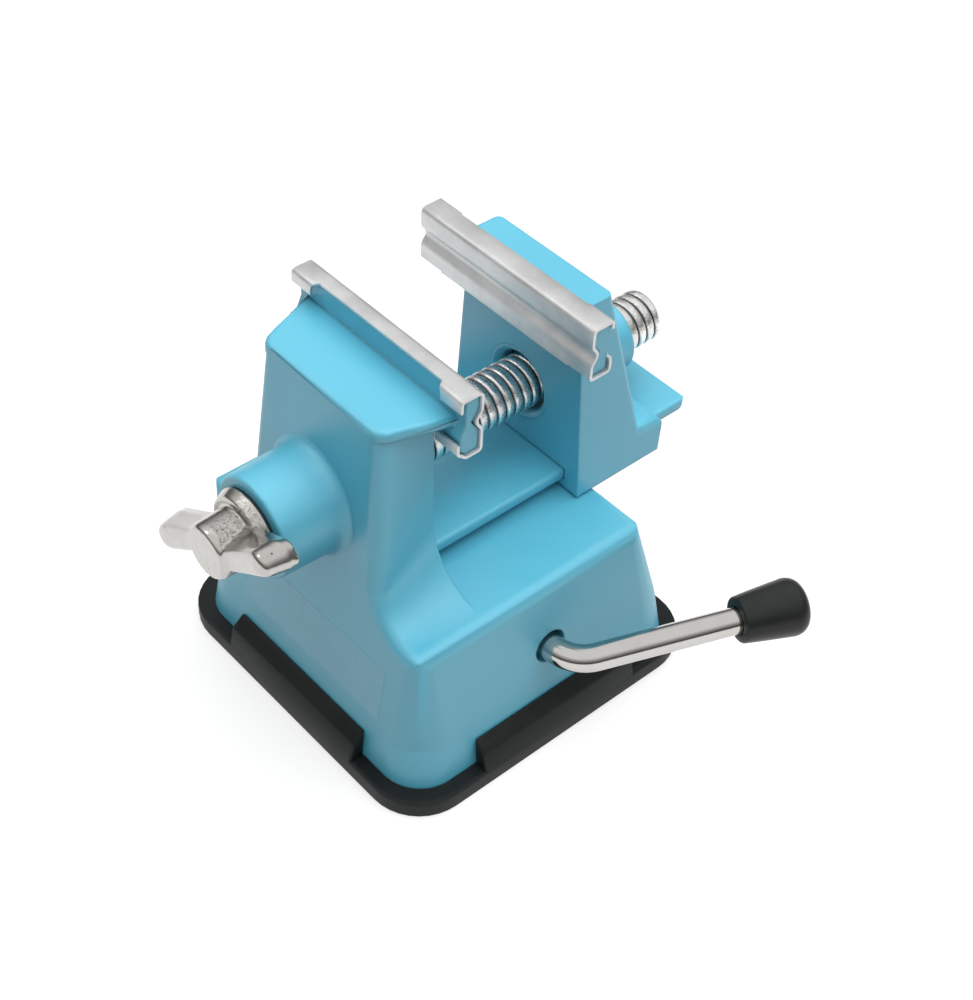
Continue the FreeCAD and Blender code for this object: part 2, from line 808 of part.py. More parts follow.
def jaw_nut():
    half = nut_side / 2
    corners = at_y(nut_front, [(-half, screw_z - half), (half, screw_z - half),
                               (half, screw_z + half), (-half, screw_z + half)])
    nut = prism(corners, Y * nut_thickness, nut_corner)
    return nut.cut(along_y(screw_radius + running_fit, nut_front - 1,
                           nut_front + nut_thickness + 1))


# ---- lead screw and what turns with it ----------------------------------------------

def lead_screw():
    """The screw's full-diameter form; its thread is a surface finish."""
    screw = along_y(screw_radius, shoulder, screw_rear)
    tail = edges_where(screw, lambda p, e: is_near(p.y, screw_rear))
    screw = screw.makeChamfer(screw_chamfer, tail)
    stub = along_y(stub_radius, stub_end, shoulder)
    seat = keeper_seat() + keeper_washer_thickness
    groove = along_y(screw_radius + 1, seat, seat + keeper_thickness)
    groove = groove.cut(along_y(screw_radius - keeper_groove_depth, seat, seat + keeper_thickness))
    return fused(screw, stub).cut(groove)


def wing_section(y, reach, upper_hub, upper_tip, lower_hub, lower_tip):
    """Outline of one wing across the screw, before its tilt."""
    pairs = [(wing_root, upper_hub), (reach - wing_tip_lean, upper_tip),
             (reach + wing_tip_lean, lower_tip), (wing_root, lower_hub)]
    corners = at_y(y, [(x, screw_z + z) for x, z in pairs])
    return rounded_wire(corners, [0, wing_upper_corner, wing_lower_corner, 0])


def wing_handle():
    """Conical flange, hub and two wings, each wing a half turn from the other."""
    hub = Part.makeCone(hub_nose_radius, hub_radius, flange_front - handle_nose,
                        Vector(0, handle_nose, screw_z), Y)
    nose = edges_where(hub, lambda p, e: is_near(p.y, handle_nose))
    hub = hub.makeChamfer(hub_nose_chamfer, nose)
    flange = Part.makeCone(flange_front_radius, flange_radius, flange_length,
                           Vector(0, flange_front, screw_z), Y)
    front = wing_section(wing_front, wing_front_reach, wing_front_upper_hub,
                         wing_front_upper_tip, wing_front_lower_hub, wing_front_lower_tip)
    rear = wing_section(wing_rear, wing_rear_reach, wing_rear_upper_hub,
                        wing_rear_upper_tip, wing_rear_lower_hub, wing_rear_lower_tip)
    wings = []
    for side in (0, 180):
        wing = ruled(front, rear)
        wing.rotate(Vector(0, 0, screw_z), Y, side - wing_tilt)
        wings.append(wing)
    handle = fused(hub, flange, *wings)
    handle = handle.cut(along_y(stub_radius + press_fit, stub_end - press_fit, shoulder))
    return handle.cut(along_y(screw_radius + press_fit, shoulder - press_fit, flange_rear + 1))


def ring(inner, outer, y_low, y_high):
    return along_y(outer, y_low, y_high).cut(along_y(inner, y_low - 1, y_high + 1))


def thrust_washer():
    return ring(screw_radius + press_fit, thrust_washer_radius, flange_rear,
                boss_front - press_fit)


def keeper_washer():
    seat = keeper_seat()
    return ring(screw_radius + press_fit, keeper_washer_radius, seat + press_fit,
                seat + keeper_washer_thickness)


def keeper_clip():
    """Open ring that snaps into the screw's groove behind the front wall."""
    low = keeper_seat() + keeper_washer_thickness
    inner = screw_radius - keeper_groove_depth + press_fit
    clip = ring(inner, keeper_radius, low, low + keeper_thickness)
    mouth = block(-keeper_mouth / 2, keeper_mouth / 2, low - 1, low + keeper_thickness + 1,
                  screw_z - keeper_radius - 1, screw_z)
    return clip.cut(mouth)


# ---- suction lever ------------------------------------------------------------------

def rod_path():
    reach = rod_bend_radius * math.tan((math.pi / 2 - splay) / 2)
    start = Vector(rod_inner_end, 0, lever_z)
    bend_in = arm_corner - X * reach
    bend_out = arm_corner + arm_direction * reach
    inward = toward(Vector(), arm_direction - X)
    dip = rod_bend_radius / math.cos((math.pi / 2 - splay) / 2) - rod_bend_radius
    middle = arm_corner + inward * dip
    tip = knob_start + arm_direction * rod_in_knob
    return Part.Wire([Part.LineSegment(start, bend_in).toShape(),
                      Part.Arc(bend_in, middle, bend_out).toShape(),
                      Part.LineSegment(bend_out, tip).toShape()])


def lever_rod():
    section = Part.Wire(Part.Circle(Vector(rod_inner_end, 0, lever_z), X, rod_radius).toShape())
    rod = rod_path().makePipeShell([section], True, False)
    return rod.cut(cross_pin(cam_pin_radius + press_fit, 2 * cam_radius))


def cross_pin(radius, reach):
    return upright(radius, lever_z - reach, lever_z + reach)


def lever_knob():
    """Push-on grip, narrow at its rim and full near its rounded end."""
    bore = rod_radius + press_fit
    flat = knob_rim_radius + knob_flare * knob_length - knob_crown
    pairs = [(0, knob_length), (0, rod_in_knob + press_fit), (bore, rod_in_knob + press_fit),
             (bore, 0), (knob_rim_radius - knob_rim_chamfer, 0), (knob_rim_radius, knob_rim_chamfer)]
    for step in range(knob_crown_bevels + 1):
        angle = math.pi / 2 * step / knob_crown_bevels
        pairs.append((flat + knob_crown * math.cos(angle),
                      knob_length - knob_crown + knob_crown * math.sin(angle)))
    corners = [Vector(r, 0, z) for r, z in pairs]
    knob = Part.Face(Part.makePolygon(corners + corners[:1])).revolve(Vector(), Z, 360)
    knob.Placement = Placement(knob_start, Rotation(Z, arm_direction))
    return knob


def lever_cam():
    half = cam_width / 2
    cam = along_x(cam_radius, -half, half, cam_z)
    cam = cam.cut(along_x(rod_radius + press_fit, -half - 1, half + 1))
    return cam.cut(cross_pin(cam_pin_radius + press_fit, 2 * cam_radius))


def cam_pin():
    """Pin through cam and rod, so that they turn together."""
    low = cam_z - cam_radius + cam_pin_setback
    high = cam_z + cam_radius - cam_pin_setback
    return upright(cam_pin_radius, low, high)


def rod_ring(inner, outer, x_low, x_high):
    return along_x(outer, x_low, x_high).cut(along_x(inner, x_low - 1, x_high + 1))


def rod_washer():
    seat = -web_x - web_thickness / 2 - press_fit
    return rod_ring(rod_radius + press_fit, rod_washer_radius, seat - rod_washer_thickness, seat)


def rod_clip():
    """Push-on ring that keeps the rod from being pulled out."""
    seat = -web_x - web_thickness / 2 - press_fit - rod_washer_thickness - press_fit
    return rod_ring(rod_radius + press_fit, rod_clip_radius, seat - rod_clip_thickness, seat)


# ---- plunger that lifts the middle of the pad ---------------------------------------

def plunger_yoke():
    """Frame round the cam; its foot boss takes the pull stud."""
    half = cam_width / 2
    frame = block(-half, half, -yoke_half_y, yoke_half_y, yoke_bottom, yoke_top)
    corners = edges_where(frame, lambda p, e: is_near(abs(p.y), yoke_half_y) and is_near(p.x, 0))
    frame = frame.makeFillet(yoke_corner, corners)
    window = block(-half - 1, half + 1, -yoke_window_half_y, yoke_window_half_y,
                   cam_z - yoke_window_half_z, cam_z + yoke_window_half_z)
    boss = upright(yoke_boss_radius, yoke_bottom - yoke_boss_height, yoke_bottom + yoke_bar / 4)
    frame = fused(frame.cut(window), boss)
    return frame.cut(upright(stud_radius + press_fit, yoke_bottom - yoke_boss_height - 1, stud_top))


def pull_stud():
    """Headed stud, cast in the disc below and pressed into the yoke above."""
    low = disc_top - stud_head
    shank = upright(stud_radius, low, stud_top - press_fit)
    return fused(shank, upright(stud_head_radius, low, disc_top))


def plunger_disc():
    disc = upright(disc_radius, diaphragm + press_fit, disc_top)
    low = disc_top - stud_head - press_fit
    return disc.cut(upright(stud_head_radius + press_fit, low, disc_top + 1))


# ---- export -------------------------------------------------------------------------

pieces = {
    "suction_pad": suction_pad,
    "housing": housing,
    "fixed_jaw_cover": fixed_jaw_cover,
    "moving_jaw": moving_jaw,
    "moving_jaw_cover": moving_jaw_cover,
    "jaw_nut": jaw_nut,
    "lead_screw": lead_screw,
    "wing_handle": wing_handle,
    "thrust_washer": thrust_washer,
    "keeper_washer": keeper_washer,
    "keeper_clip": keeper_clip,
    "lever_rod": lever_rod,
    "lever_knob": lever_knob,
    "lever_cam": lever_cam,
    "cam_pin": cam_pin,
    "rod_washer": rod_washer,
    "rod_clip": rod_clip,
    "plunger_yoke": plunger_yoke,
    "pull_stud": pull_stud,
    "plunger_disc": plunger_disc,
}

os.makedirs("parts", exist_ok=True)
for name, make in pieces.items():
    shape = make()
    if len(shape.Solids) == 1:
        shape = shape.Solids[0]
    box = shape.BoundBox
    print(f"{name:18s} solids {len(shape.Solids)} valid {shape.isValid()} "
          f"volume {shape.Volume:9.1f}  x {box.XMin:6.1f} {box.XMax:6.1f}  "
          f"y {box.YMin:6.1f} {box.YMax:6.1f}  z {box.ZMin:6.1f} {box.ZMax:6.1f}")
    shape.exportStep(os.path.join("parts", name + ".step"))
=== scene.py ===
import math

import bmesh
import bpy
from mathutils import Matrix, Vector


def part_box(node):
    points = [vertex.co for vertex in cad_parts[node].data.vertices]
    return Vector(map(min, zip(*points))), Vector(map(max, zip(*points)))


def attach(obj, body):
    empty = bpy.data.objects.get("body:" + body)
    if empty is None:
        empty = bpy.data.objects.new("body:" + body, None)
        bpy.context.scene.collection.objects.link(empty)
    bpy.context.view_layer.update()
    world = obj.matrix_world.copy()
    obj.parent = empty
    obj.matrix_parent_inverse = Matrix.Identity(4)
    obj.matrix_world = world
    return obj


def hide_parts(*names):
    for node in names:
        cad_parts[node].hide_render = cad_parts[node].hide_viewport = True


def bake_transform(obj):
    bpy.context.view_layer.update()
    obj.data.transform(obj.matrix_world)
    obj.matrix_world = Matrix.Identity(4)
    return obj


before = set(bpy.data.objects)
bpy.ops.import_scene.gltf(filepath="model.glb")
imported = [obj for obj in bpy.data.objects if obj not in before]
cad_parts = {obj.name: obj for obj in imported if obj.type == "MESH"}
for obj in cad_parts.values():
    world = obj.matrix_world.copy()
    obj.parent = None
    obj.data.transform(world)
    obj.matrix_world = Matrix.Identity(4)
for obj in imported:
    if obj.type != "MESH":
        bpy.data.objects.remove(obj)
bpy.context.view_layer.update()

# A small suction base vise, dressed for its looks.  Lengths below are millimetres; meshes are
# scaled by MM on the way in.  +Y runs along the lead screw, +X to the lever's side, +Z up.

MM = 0.001

# ---- places and sizes from the frame ------------------------------------------------


def node_box(node):
    """Lowest and highest corner of a CAD node, in millimetres."""
    low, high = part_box(node)
    return Vector(low) / MM, Vector(high) / MM


screw_low, screw_high = node_box("lead_screw")
screw_z = (screw_low.z + screw_high.z) / 2
screw_radius = (screw_high.x - screw_low.x) / 2
pad_high = node_box("suction_pad")[1]
pad_half = pad_high.x
clip_top = pad_high.z
fixed_low, fixed_high = node_box("fixed_jaw_cover")
moving_low = node_box("moving_jaw_cover")[0]
jaw_top = fixed_high.z
grip_half = fixed_high.x
rod_low, rod_high = node_box("lever_rod")

# ---- sizes that the finish needs ----------------------------------------------------

# gaps and turns below the eye's notice
hair = 0.02                 # keeps two faces from lying in one place
own_weld = 0.0005           # joins the points of a drawn piece
cad_weld = 0.002            # joins the loose triangles of a CAD node
flat_turn = 0.4             # degrees between faces that still make one flat wall

# moving jaw's screw hole
column_front = moving_low.y + 4.74
hole_radius = 6.9
lip_depth = 1.5
lip_drop = 1.5
lip_wall = 0.3
lip_flare = 0.35
lip_sleeve = 3.4            # from the column's front to the sleeve's end in the hole

# bent jaw covers: middle line of the sheet, as depths behind the grip face and drops below
# the jaw top
sheet = 0.55
ear_length = 5.5
ear_slant = 0.5
bend_radius = 0.62
top_bend = 0.85
groove_bend = 1.5
groove_drop = 5.65
groove_depth = 1.4
groove_half = 1.9
cover_back = 4.425
cover_margin = 0.005        # keeps the bent sheet inside the CAD box
sheet_edge = 0.09

# wing handle
flange_front = -42.4
wing_voxel = 0.2
wing_melt_run = 1.2         # from the flange forward, over which the melting sets in
wing_root = 4.0             # from here outward, over wing_span, the melting grows to its full share
wing_span = 11.0
wing_least_melt = 0.32
wing_melt_rounds = 200
wing_settle_rounds = 12
wing_swell = 0.42           # makes up for what the melting takes off
coarse_radius = 6.0         # coarse skin round the hub, which fades out over coarse_fade
coarse_fade = 3.0
nose_back = -47.3           # the coarse skin ends here, over nose_fade
nose_fade = 1.0
coarse_half = 1.5           # half of the width over which it fades away from the lever's side

# lead screw
thread_start = -41.7
screw_pitch = 2.0
thread_depth = 0.72
crest_roundness = 0.96      # 1 ends the crest in a cusp at the root
crest_breadth = 3.0         # 2 is a round crest; more is flatter, with a narrower root
screw_end_radius = 4.1
dark_below = 0.34           # painted root shade darkens from bright_above to dark_below under the crest
bright_above = 0.10
bright_end = 1.0            # length of the bright rear end, left out of the painted root shade; it fades in over bright_fade
bright_fade = 0.6
steps_per_turn = 60
rows_per_pitch = 14
lead_in_pitches = 2.0       # rows ahead of the bar's start, so that each turn is whole
spare_pitches = 3

# lever
lever_z = (rod_low.z + rod_high.z) / 2
rod_radius = (rod_high.z - rod_low.z) / 2
rod_chamfer = 0.3
rod_bend_x = 35.5
rod_bend_radius = 7.0
arm_splay = math.radians(21.0)
arm_to_knob = 31.75
rod_in_knob = 8.4
knob_length = 12.9

# suction pad
pad_thickness = 3.6
pad_corner = 10.2
diaphragm = 1.8
panel_half = 27.0
panel_hollow = 0.55
seat_inner = 11.02
seat_wall = 1.8
seat_top = 3.4
seat_chamfer = 0.4
seat_sink = 0.4             # into the diaphragm

# clips of the suction pad, and the ribs on one of them
clip_length = 36.0
clip_thickness = 3.0
clip_inset = 0.01
clip_low = 0.9
clip_shoulder = 0.55        # below the pad's top, where the outer face starts to lean in
clip_bevel_in = 1.0
clip_bevel_drop = 2.2
clip_crest = (pad_half - clip_bevel_in, clip_top - clip_bevel_drop)
clip_relief = 0.1           # at its top the clip stands off the wall by this
brim_lean = 1.0             # of the wall inside the clips, from the pad's top to wall_foot_z
clip_softness = 0.55
rib_start = -16.6
rib_pitch = 0.62
rib_count = 27
rib_length = 1.3
rib_radius = 0.13
rib_slope_end = 3.71        # in from the pad's side, where the slope that they lie on ends
rib_inset = 1.0             # from that end down the slope
rib_least = (0.8, 0.8, 0.55)
rib_most = (1.15, 1.15, 1.0)
rib_seed = 7

# flared top of the tower
shelf_drop = 5.0
shelf_lip = 2.0
shelf_front_half = 15.0
shelf_corner = 2.2
shelf_edge = 1.0
shelf_side_share = 0.35     # the sides' rim is this much of the front's
shelf_run_back = 4.0        # the rim ends this far behind the front of the fixed jaw's cover
rim_turn = 60.0             # degrees between faces, from which an edge is a rim

# front wall of the base, which leans back
wall_foot_y = -31.0
wall_foot_z = 12.0
wall_slope = 0.087


# ---- node trees ---------------------------------------------------------------------

class Number:
    """A value socket.  Arithmetic on it adds Math nodes to its tree."""

    def __init__(self, tree, node, socket):
        self.tree = tree
        self.node = node
        self.socket = socket

    def math(self, operation, *others):
        return self.tree.add("ShaderNodeMath", {0: self, **dict(enumerate(others, 1))},
                             operation=operation)

    def __add__(self, other):
        return self.math("ADD", other)

    __radd__ = __add__

    def __mul__(self, other):
        return self.math("MULTIPLY", other)

    __rmul__ = __mul__

    def __sub__(self, other):
        return self.math("SUBTRACT", other)

    def __rsub__(self, other):
        return self.tree.add("ShaderNodeMath", {0: other, 1: self}, operation="SUBTRACT")

    def __truediv__(self, other):
        return self.math("DIVIDE", other)

    def __rtruediv__(self, other):
        return self.tree.add("ShaderNodeMath", {0: other, 1: self}, operation="DIVIDE")

    def __pow__(self, other):
        return self.math("POWER", other)

    def output(self, name):
        return Number(self.tree, self.node, self.node.outputs[name])


class Tree:
    """A node tree that is being written."""

    def __init__(self, node_tree):
        self.nodes = node_tree.nodes
        self.links = node_tree.links

    def add(self, kind, values=None, output=0, stops=(), **settings):
        """One node: settings and ramp stops first, then values or links for its sockets."""
        node = self.nodes.new(kind)
        for name, setting in settings.items():
            setattr(node, name, setting)
        for i, (position, colour) in enumerate(stops):
            elements = node.color_ramp.elements
            stop = elements[i] if i < 2 else elements.new(position)
            stop.position = position
            stop.color = colour
        for key, value in (values or {}).items():
            self.feed(node.inputs[key], value)
        return Number(self, node, node.outputs[output] if node.outputs else None)

    def feed(self, socket, value):
        if isinstance(value, Number):
            self.links.new(value.socket, socket)
        else:
            socket.default_value = value

    def mix(self, factor, first, second):
        """Colour between two colours."""
        return self.add("ShaderNodeMix", {0: factor, 6: first, 7: second}, output=2,
                        data_type="RGBA", clamp_factor=True)

    def ramp(self, value, low, high, start=0.0, end=1.0):
        """Smooth step from start to end as the value goes from low to high."""
        return self.add("ShaderNodeMapRange", {"Value": value, "From Min": low, "From Max": high,
                                               "To Min": start, "To Max": end},
                        interpolation_type="SMOOTHSTEP")

    def stretched(self, scale):
        """Object coordinates, scaled apart along each axis."""
        place = self.add("ShaderNodeTexCoord", output="Object")
        return self.add("ShaderNodeVectorMath", {0: place, 1: scale}, operation="MULTIPLY")

    def noise(self, scale, detail=3.0, roughness=0.5, stretch=(1.0, 1.0, 1.0)):
        return self.add("ShaderNodeTexNoise", {"Vector": self.stretched(stretch), "Scale": scale,
                                               "Detail": detail, "Roughness": roughness})

    def about_screw(self):
        """Object coordinates about the screw: sideways, along, and distance from its axis."""
        place = self.add("ShaderNodeTexCoord", output="Object")
        across = self.add("ShaderNodeVectorMath", {0: place, 1: (0.0, 0.0, screw_z * MM)},
                          operation="SUBTRACT")
        parts = self.add("ShaderNodeSeparateXYZ", {0: across})
        x = parts.output("X")
        z = parts.output("Z")
        return x, parts.output("Y"), (x * x + z * z) ** 0.5

    def bump(self, height, depth, strength=1.0, normal=None):
        """A Normal from a height; depth is in millimetres."""
        values = {"Height": height, "Distance": depth * MM, "Strength": strength}
        if normal is not None:
            values["Normal"] = normal
        return self.add("ShaderNodeBump", values)


def emptied(owner):
    """The node tree of a material or world, with nothing in it yet."""
    owner.use_nodes = True
    owner.node_tree.nodes.clear()
    return Tree(owner.node_tree)


def new_material(name, describe):
    """A material whose Principled sockets come from describe(tree)."""
    material = bpy.data.materials.new(name)
    tree = emptied(material)
    shader = tree.add("ShaderNodeBsdfPrincipled", describe(tree))
    tree.add("ShaderNodeOutputMaterial", {"Surface": shader})
    return material


# ---- finishes -----------------------------------------------------------------------

def blue_plastic(tree):
    """Satin moulded plastic: faint flow marks, a fine spark grain, and a painted highlight that
    pales its edges.
    """
    flow = tree.noise(26.0, 3.0, 0.55)
    grain = tree.noise(2600.0, 2.0, 0.6)
    orange_peel = tree.noise(420.0, 2.0, 0.5)
    soft = tree.add("ShaderNodeBevel", {"Radius": 0.60 * MM}, samples=8)
    face = tree.add("ShaderNodeNewGeometry", output="Normal")
    agree = tree.add("ShaderNodeVectorMath", {0: soft, 1: face}, operation="DOT_PRODUCT",
                     output="Value")
    # Painted highlight: where the bevelled normal leaves the face's own, the edge gets a paler tint
    # below.
    edge = tree.ramp(agree, 0.999, 0.93)
    body = tree.mix(tree.ramp(flow, 0.35, 0.65), (0.086, 0.432, 0.585, 1),
                    (0.098, 0.462, 0.620, 1))
    colour = tree.mix(edge * 0.12, body, (0.26, 0.60, 0.73, 1))
    height = grain * 0.5 + orange_peel * 0.5
    return {"Base Color": colour, "Roughness": 0.36 + (flow - 0.5) * 0.10 + grain * 0.06,
            "Normal": tree.bump(height, 0.012, 0.55, soft), "Specular IOR Level": 1.0,
            "Subsurface Weight": 0.08, "Subsurface Radius": (0.25, 0.9, 1.0),
            "Subsurface Scale": 0.9 * MM}


def jaw_aluminium(tree):
    """Bent aluminium strip with rolling lines along the jaw and a cloudy sheen."""
    lines = tree.noise(1.0, 3.0, 0.6, (110.0, 5200.0, 5200.0))
    cloud = tree.noise(160.0, 3.0, 0.6)
    fleck = tree.noise(1500.0, 2.0, 0.5)
    colour = tree.mix(tree.ramp(cloud, 0.30, 0.70), (0.62, 0.625, 0.625, 1), (0.75, 0.752, 0.75, 1))
    return {"Base Color": colour, "Metallic": 0.9,
            "Roughness": 0.50 + (lines - 0.5) * 0.20 + (cloud - 0.5) * 0.16,
            "Normal": tree.bump(lines * 0.6 + fleck * 0.4, 0.012, 0.6)}


def plated_steel(tree):
    """Bright plated screw with painted shade in its thread roots, and small tool marks."""
    _, along, radius = tree.about_screw()
    # Painted shade: the colour darkens toward the thread roots, as if the grooves were in shade.
    crest = tree.ramp(radius, (screw_radius - dark_below) * MM, (screw_radius - bright_above) * MM)
    end_face = tree.ramp(along, (screw_high.y - bright_end - bright_fade) * MM,
                         (screw_high.y - bright_end) * MM)
    crest = crest.math("MAXIMUM", end_face)
    blotch = tree.noise(700.0, 3.0, 0.6)
    worn = tree.noise(2400.0, 3.0, 0.6)
    bright = tree.mix(tree.ramp(blotch, 0.35, 0.7), (0.68, 0.675, 0.66, 1), (0.92, 0.915, 0.90, 1))
    colour = tree.mix(crest, (0.05, 0.055, 0.055, 1), bright)
    return {"Base Color": colour, "Metallic": 1.0,
            "Roughness": 0.27 + (1.0 - crest) * 0.10 + (worn - 0.5) * 0.4,
            "Normal": tree.bump(worn + blotch * 0.6, 0.09, 0.9)}


def cast_zinc(tree):
    """Nickelled die casting: soft satin skin, pits, and a coarse skin on its flange."""
    sideways, along, radius = tree.about_screw()
    near_hub = tree.ramp(radius, (coarse_radius + coarse_fade) * MM, coarse_radius * MM)
    behind_nose = tree.ramp(along, (nose_back - nose_fade) * MM, nose_back * MM)
    lever_side = tree.ramp(sideways, -coarse_half * MM, coarse_half * MM)
    coarse = near_hub * behind_nose * lever_side
    skin = tree.noise(650.0, 4.0, 0.6)
    lumps = tree.noise(1900.0, 3.0, 0.65)
    pits = tree.add("ShaderNodeTexVoronoi", {"Vector": tree.stretched((1, 1, 1)), "Scale": 760.0},
                    output="Distance")
    patch = tree.ramp(tree.noise(160.0, 2.0, 0.5), 0.50, 0.62)
    pit = tree.ramp(pits, 0.17, 0.07) * patch
    colour = tree.mix(skin, (0.44, 0.427, 0.405, 1), (0.58, 0.565, 0.54, 1))
    dull = tree.ramp(lumps, 0.52, 0.66) * coarse
    colour = tree.mix(pit * 0.8 + dull * 0.65, colour, (0.10, 0.09, 0.08, 1))
    rough = lumps * (0.10 + coarse * 4.0)
    height = skin * 0.3 + rough - pit * 1.2
    return {"Base Color": colour, "Metallic": 1.0,
            "Roughness": 0.20 + (skin - 0.5) * 0.12,
            "Normal": tree.bump(height, 0.075, 0.9)}


def bright_rod(tree):
    """Polished and plated round bar with faint draw lines."""
    lines = tree.noise(1.0, 2.0, 0.5, (500.0, 500.0, 3500.0))
    haze = tree.noise(240.0, 3.0, 0.6)
    colour = tree.mix(haze, (0.52, 0.50, 0.48, 1), (0.60, 0.585, 0.565, 1))
    return {"Base Color": colour, "Metallic": 1.0, "Roughness": 0.12 + (haze - 0.4) * 0.10,
            "Normal": tree.bump(lines, 0.004, 0.3)}


def pad_rubber(tree):
    """Black rubber with a fine grain and grey bloom."""
    grain = tree.noise(3200.0, 2.0, 0.6)
    bloom = tree.noise(90.0, 4.0, 0.6)
    colour = tree.mix(tree.ramp(bloom, 0.3, 0.75), (0.007, 0.009, 0.009, 1),
                      (0.013, 0.015, 0.015, 1))
    return {"Base Color": colour, "Roughness": 0.48 + (bloom - 0.5) * 0.22 + (grain - 0.5) * 0.1,
            "Normal": tree.bump(grain, 0.015, 0.5), "Specular IOR Level": 0.22}


def knob_rubber(tree):
    """Black push-on grip, smoother than the pad."""
    grain = tree.noise(1900.0, 3.0, 0.6)
    haze = tree.noise(140.0, 3.0, 0.6)
    colour = tree.mix(haze, (0.009, 0.010, 0.010, 1), (0.018, 0.020, 0.019, 1))
    return {"Base Color": colour, "Roughness": 0.36 + (haze - 0.5) * 0.16,
            "Normal": tree.bump(grain, 0.012, 0.5), "Specular IOR Level": 0.28}


def black_washer(tree):
    """Oiled black steel washer."""
    turned = tree.noise(1.0, 2.0, 0.6, (2500.0, 300.0, 2500.0))
    colour = tree.mix(turned, (0.02, 0.024, 0.03, 1), (0.05, 0.055, 0.065, 1))
    return {"Base Color": colour, "Metallic": 0.6, "Roughness": 0.32 + turned * 0.2,
            "Normal": tree.bump(turned, 0.01, 0.4)}


def plain_steel(tree):
    """Zinc plated sheet and pin steel."""
    cloud = tree.noise(420.0, 4.0, 0.6)
    colour = tree.mix(cloud, (0.42, 0.42, 0.41, 1), (0.60, 0.60, 0.58, 1))
    return {"Base Color": colour, "Metallic": 1.0, "Roughness": 0.30 + (cloud - 0.5) * 0.25,
            "Normal": tree.bump(cloud, 0.01, 0.4)}


def white_acetal(tree):
    """Off-white slippery plastic of the inner parts."""
    cloud = tree.noise(60.0, 3.0, 0.5)
    grain = tree.noise(1600.0, 2.0, 0.5)
    colour = tree.mix(cloud, (0.72, 0.71, 0.67, 1), (0.80, 0.79, 0.76, 1))
    return {"Base Color": colour, "Roughness": 0.42 + (grain - 0.5) * 0.1,
            "Normal": tree.bump(grain, 0.008, 0.4)}


def clear_film(tree):
    """Clear film whose milky adhesive pales the blue below it."""
    milk = tree.noise(300.0, 4.0, 0.6)
    ripple = tree.noise(90.0, 2.0, 0.5)
    colour = tree.mix(tree.ramp(milk, 0.3, 0.7), (0.150, 0.480, 0.640, 1), (0.172, 0.505, 0.660, 1))
    return {"Base Color": colour, "Roughness": 0.22 + (milk - 0.5) * 0.10,
            "Normal": tree.bump(ripple, 0.05, 0.30), "IOR": 1.5}


finishes = {make.__name__: new_material(make.__name__, make) for make in (
    blue_plastic, jaw_aluminium, plated_steel, cast_zinc, bright_rod, pad_rubber, knob_rubber,
    black_washer, plain_steel, white_acetal, clear_film)}


# ---- mesh helpers -------------------------------------------------------------------

def added(name, data):
    """A new object in the scene, for a mesh, a lamp or a camera."""
    thing = bpy.data.objects.new(name, data)
    bpy.context.scene.collection.objects.link(thing)
    return thing


def new_piece(name, mesh, finish):
    mesh.materials.clear()
    mesh.materials.append(finishes[finish])
    return added(name, mesh)


def drawn(name, points, faces, finish, sharp=35.0):
    """A piece from millimetre points and faces, with its normals turned outward."""
    mesh = bpy.data.meshes.new(name)
    mesh.from_pydata([Vector(p) * MM for p in points], [], faces)
    work = bmesh.new()
    work.from_mesh(mesh)
    bmesh.ops.remove_doubles(work, verts=work.verts, dist=own_weld * MM)
    bmesh.ops.recalc_face_normals(work, faces=work.faces)
    work.to_mesh(mesh)
    work.free()
    shade(mesh, sharp)
    return new_piece(name, mesh, finish)


def shade(mesh, sharp):
    """Smooth shading, broken at edges sharper than an angle in degrees."""
    mesh.shade_smooth()
    mesh.set_sharp_from_angle(angle=math.radians(sharp))


def turn_outward(mesh):
    work = bmesh.new()
    work.from_mesh(mesh)
    bmesh.ops.recalc_face_normals(work, faces=work.faces)
    work.to_mesh(mesh)
    work.free()


def modify(piece, kind, **settings):
    modifier = piece.modifiers.new(kind.title(), kind)
    for name, value in settings.items():
        setattr(modifier, name, value)


def applied(piece):
    """The piece with its modifiers turned into plain mesh."""
    graph = bpy.context.evaluated_depsgraph_get()
    mesh = bpy.data.meshes.new_from_object(piece.evaluated_get(graph), depsgraph=graph,
                                           preserve_all_data_layers=True)
    piece.modifiers.clear()
    piece.data = mesh
    mesh.name = piece.name
    return piece


def grown(name, finish, sizes, lay_out):
    """A piece of Geometry Nodes: lay_out(tree, size) makes it from named inputs, in metres."""
    group = bpy.data.node_groups.new(name, "GeometryNodeTree")
    kinds = {label: "NodeSocketInt" if isinstance(value, int) else "NodeSocketFloat"
             for label, value in sizes.items()}
    kinds["Finish"] = "NodeSocketMaterial"
    made = {label: group.interface.new_socket(label, in_out="INPUT", socket_type=kind)
            for label, kind in kinds.items()}
    group.interface.new_socket("Geometry", in_out="OUTPUT", socket_type="NodeSocketGeometry")
    tree = Tree(group)
    source = tree.add("NodeGroupInput")
    size = {label: source.output(label) for label in made}
    real = tree.add("GeometryNodeRealizeInstances", {"Geometry": lay_out(tree, size)})
    dressed = tree.add("GeometryNodeSetMaterial", {"Geometry": real, "Material": size["Finish"]})
    tree.add("NodeGroupOutput", {"Geometry": dressed})
    piece = new_piece(name, bpy.data.meshes.new(name), finish)
    layout = piece.modifiers.new("Layout", "NODES")
    layout.node_group = group
    for label, value in sizes.items():
        layout[made[label].identifier] = value
    layout[made["Finish"].identifier] = finishes[finish]
    return applied(piece)


def merged_copy(node, scale=1.0):
    """A CAD node's mesh with its loose triangles joined and its stored normals dropped."""
    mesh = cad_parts[node].data.copy()
    mesh.attributes.remove(mesh.attributes["custom_normal"])
    work = bmesh.new()
    work.from_mesh(mesh)
    bmesh.ops.remove_doubles(work, verts=work.verts, dist=cad_weld * MM)
    bmesh.ops.scale(work, vec=(scale, scale, scale), verts=work.verts)
    work.to_mesh(mesh)
    work.free()
    return mesh


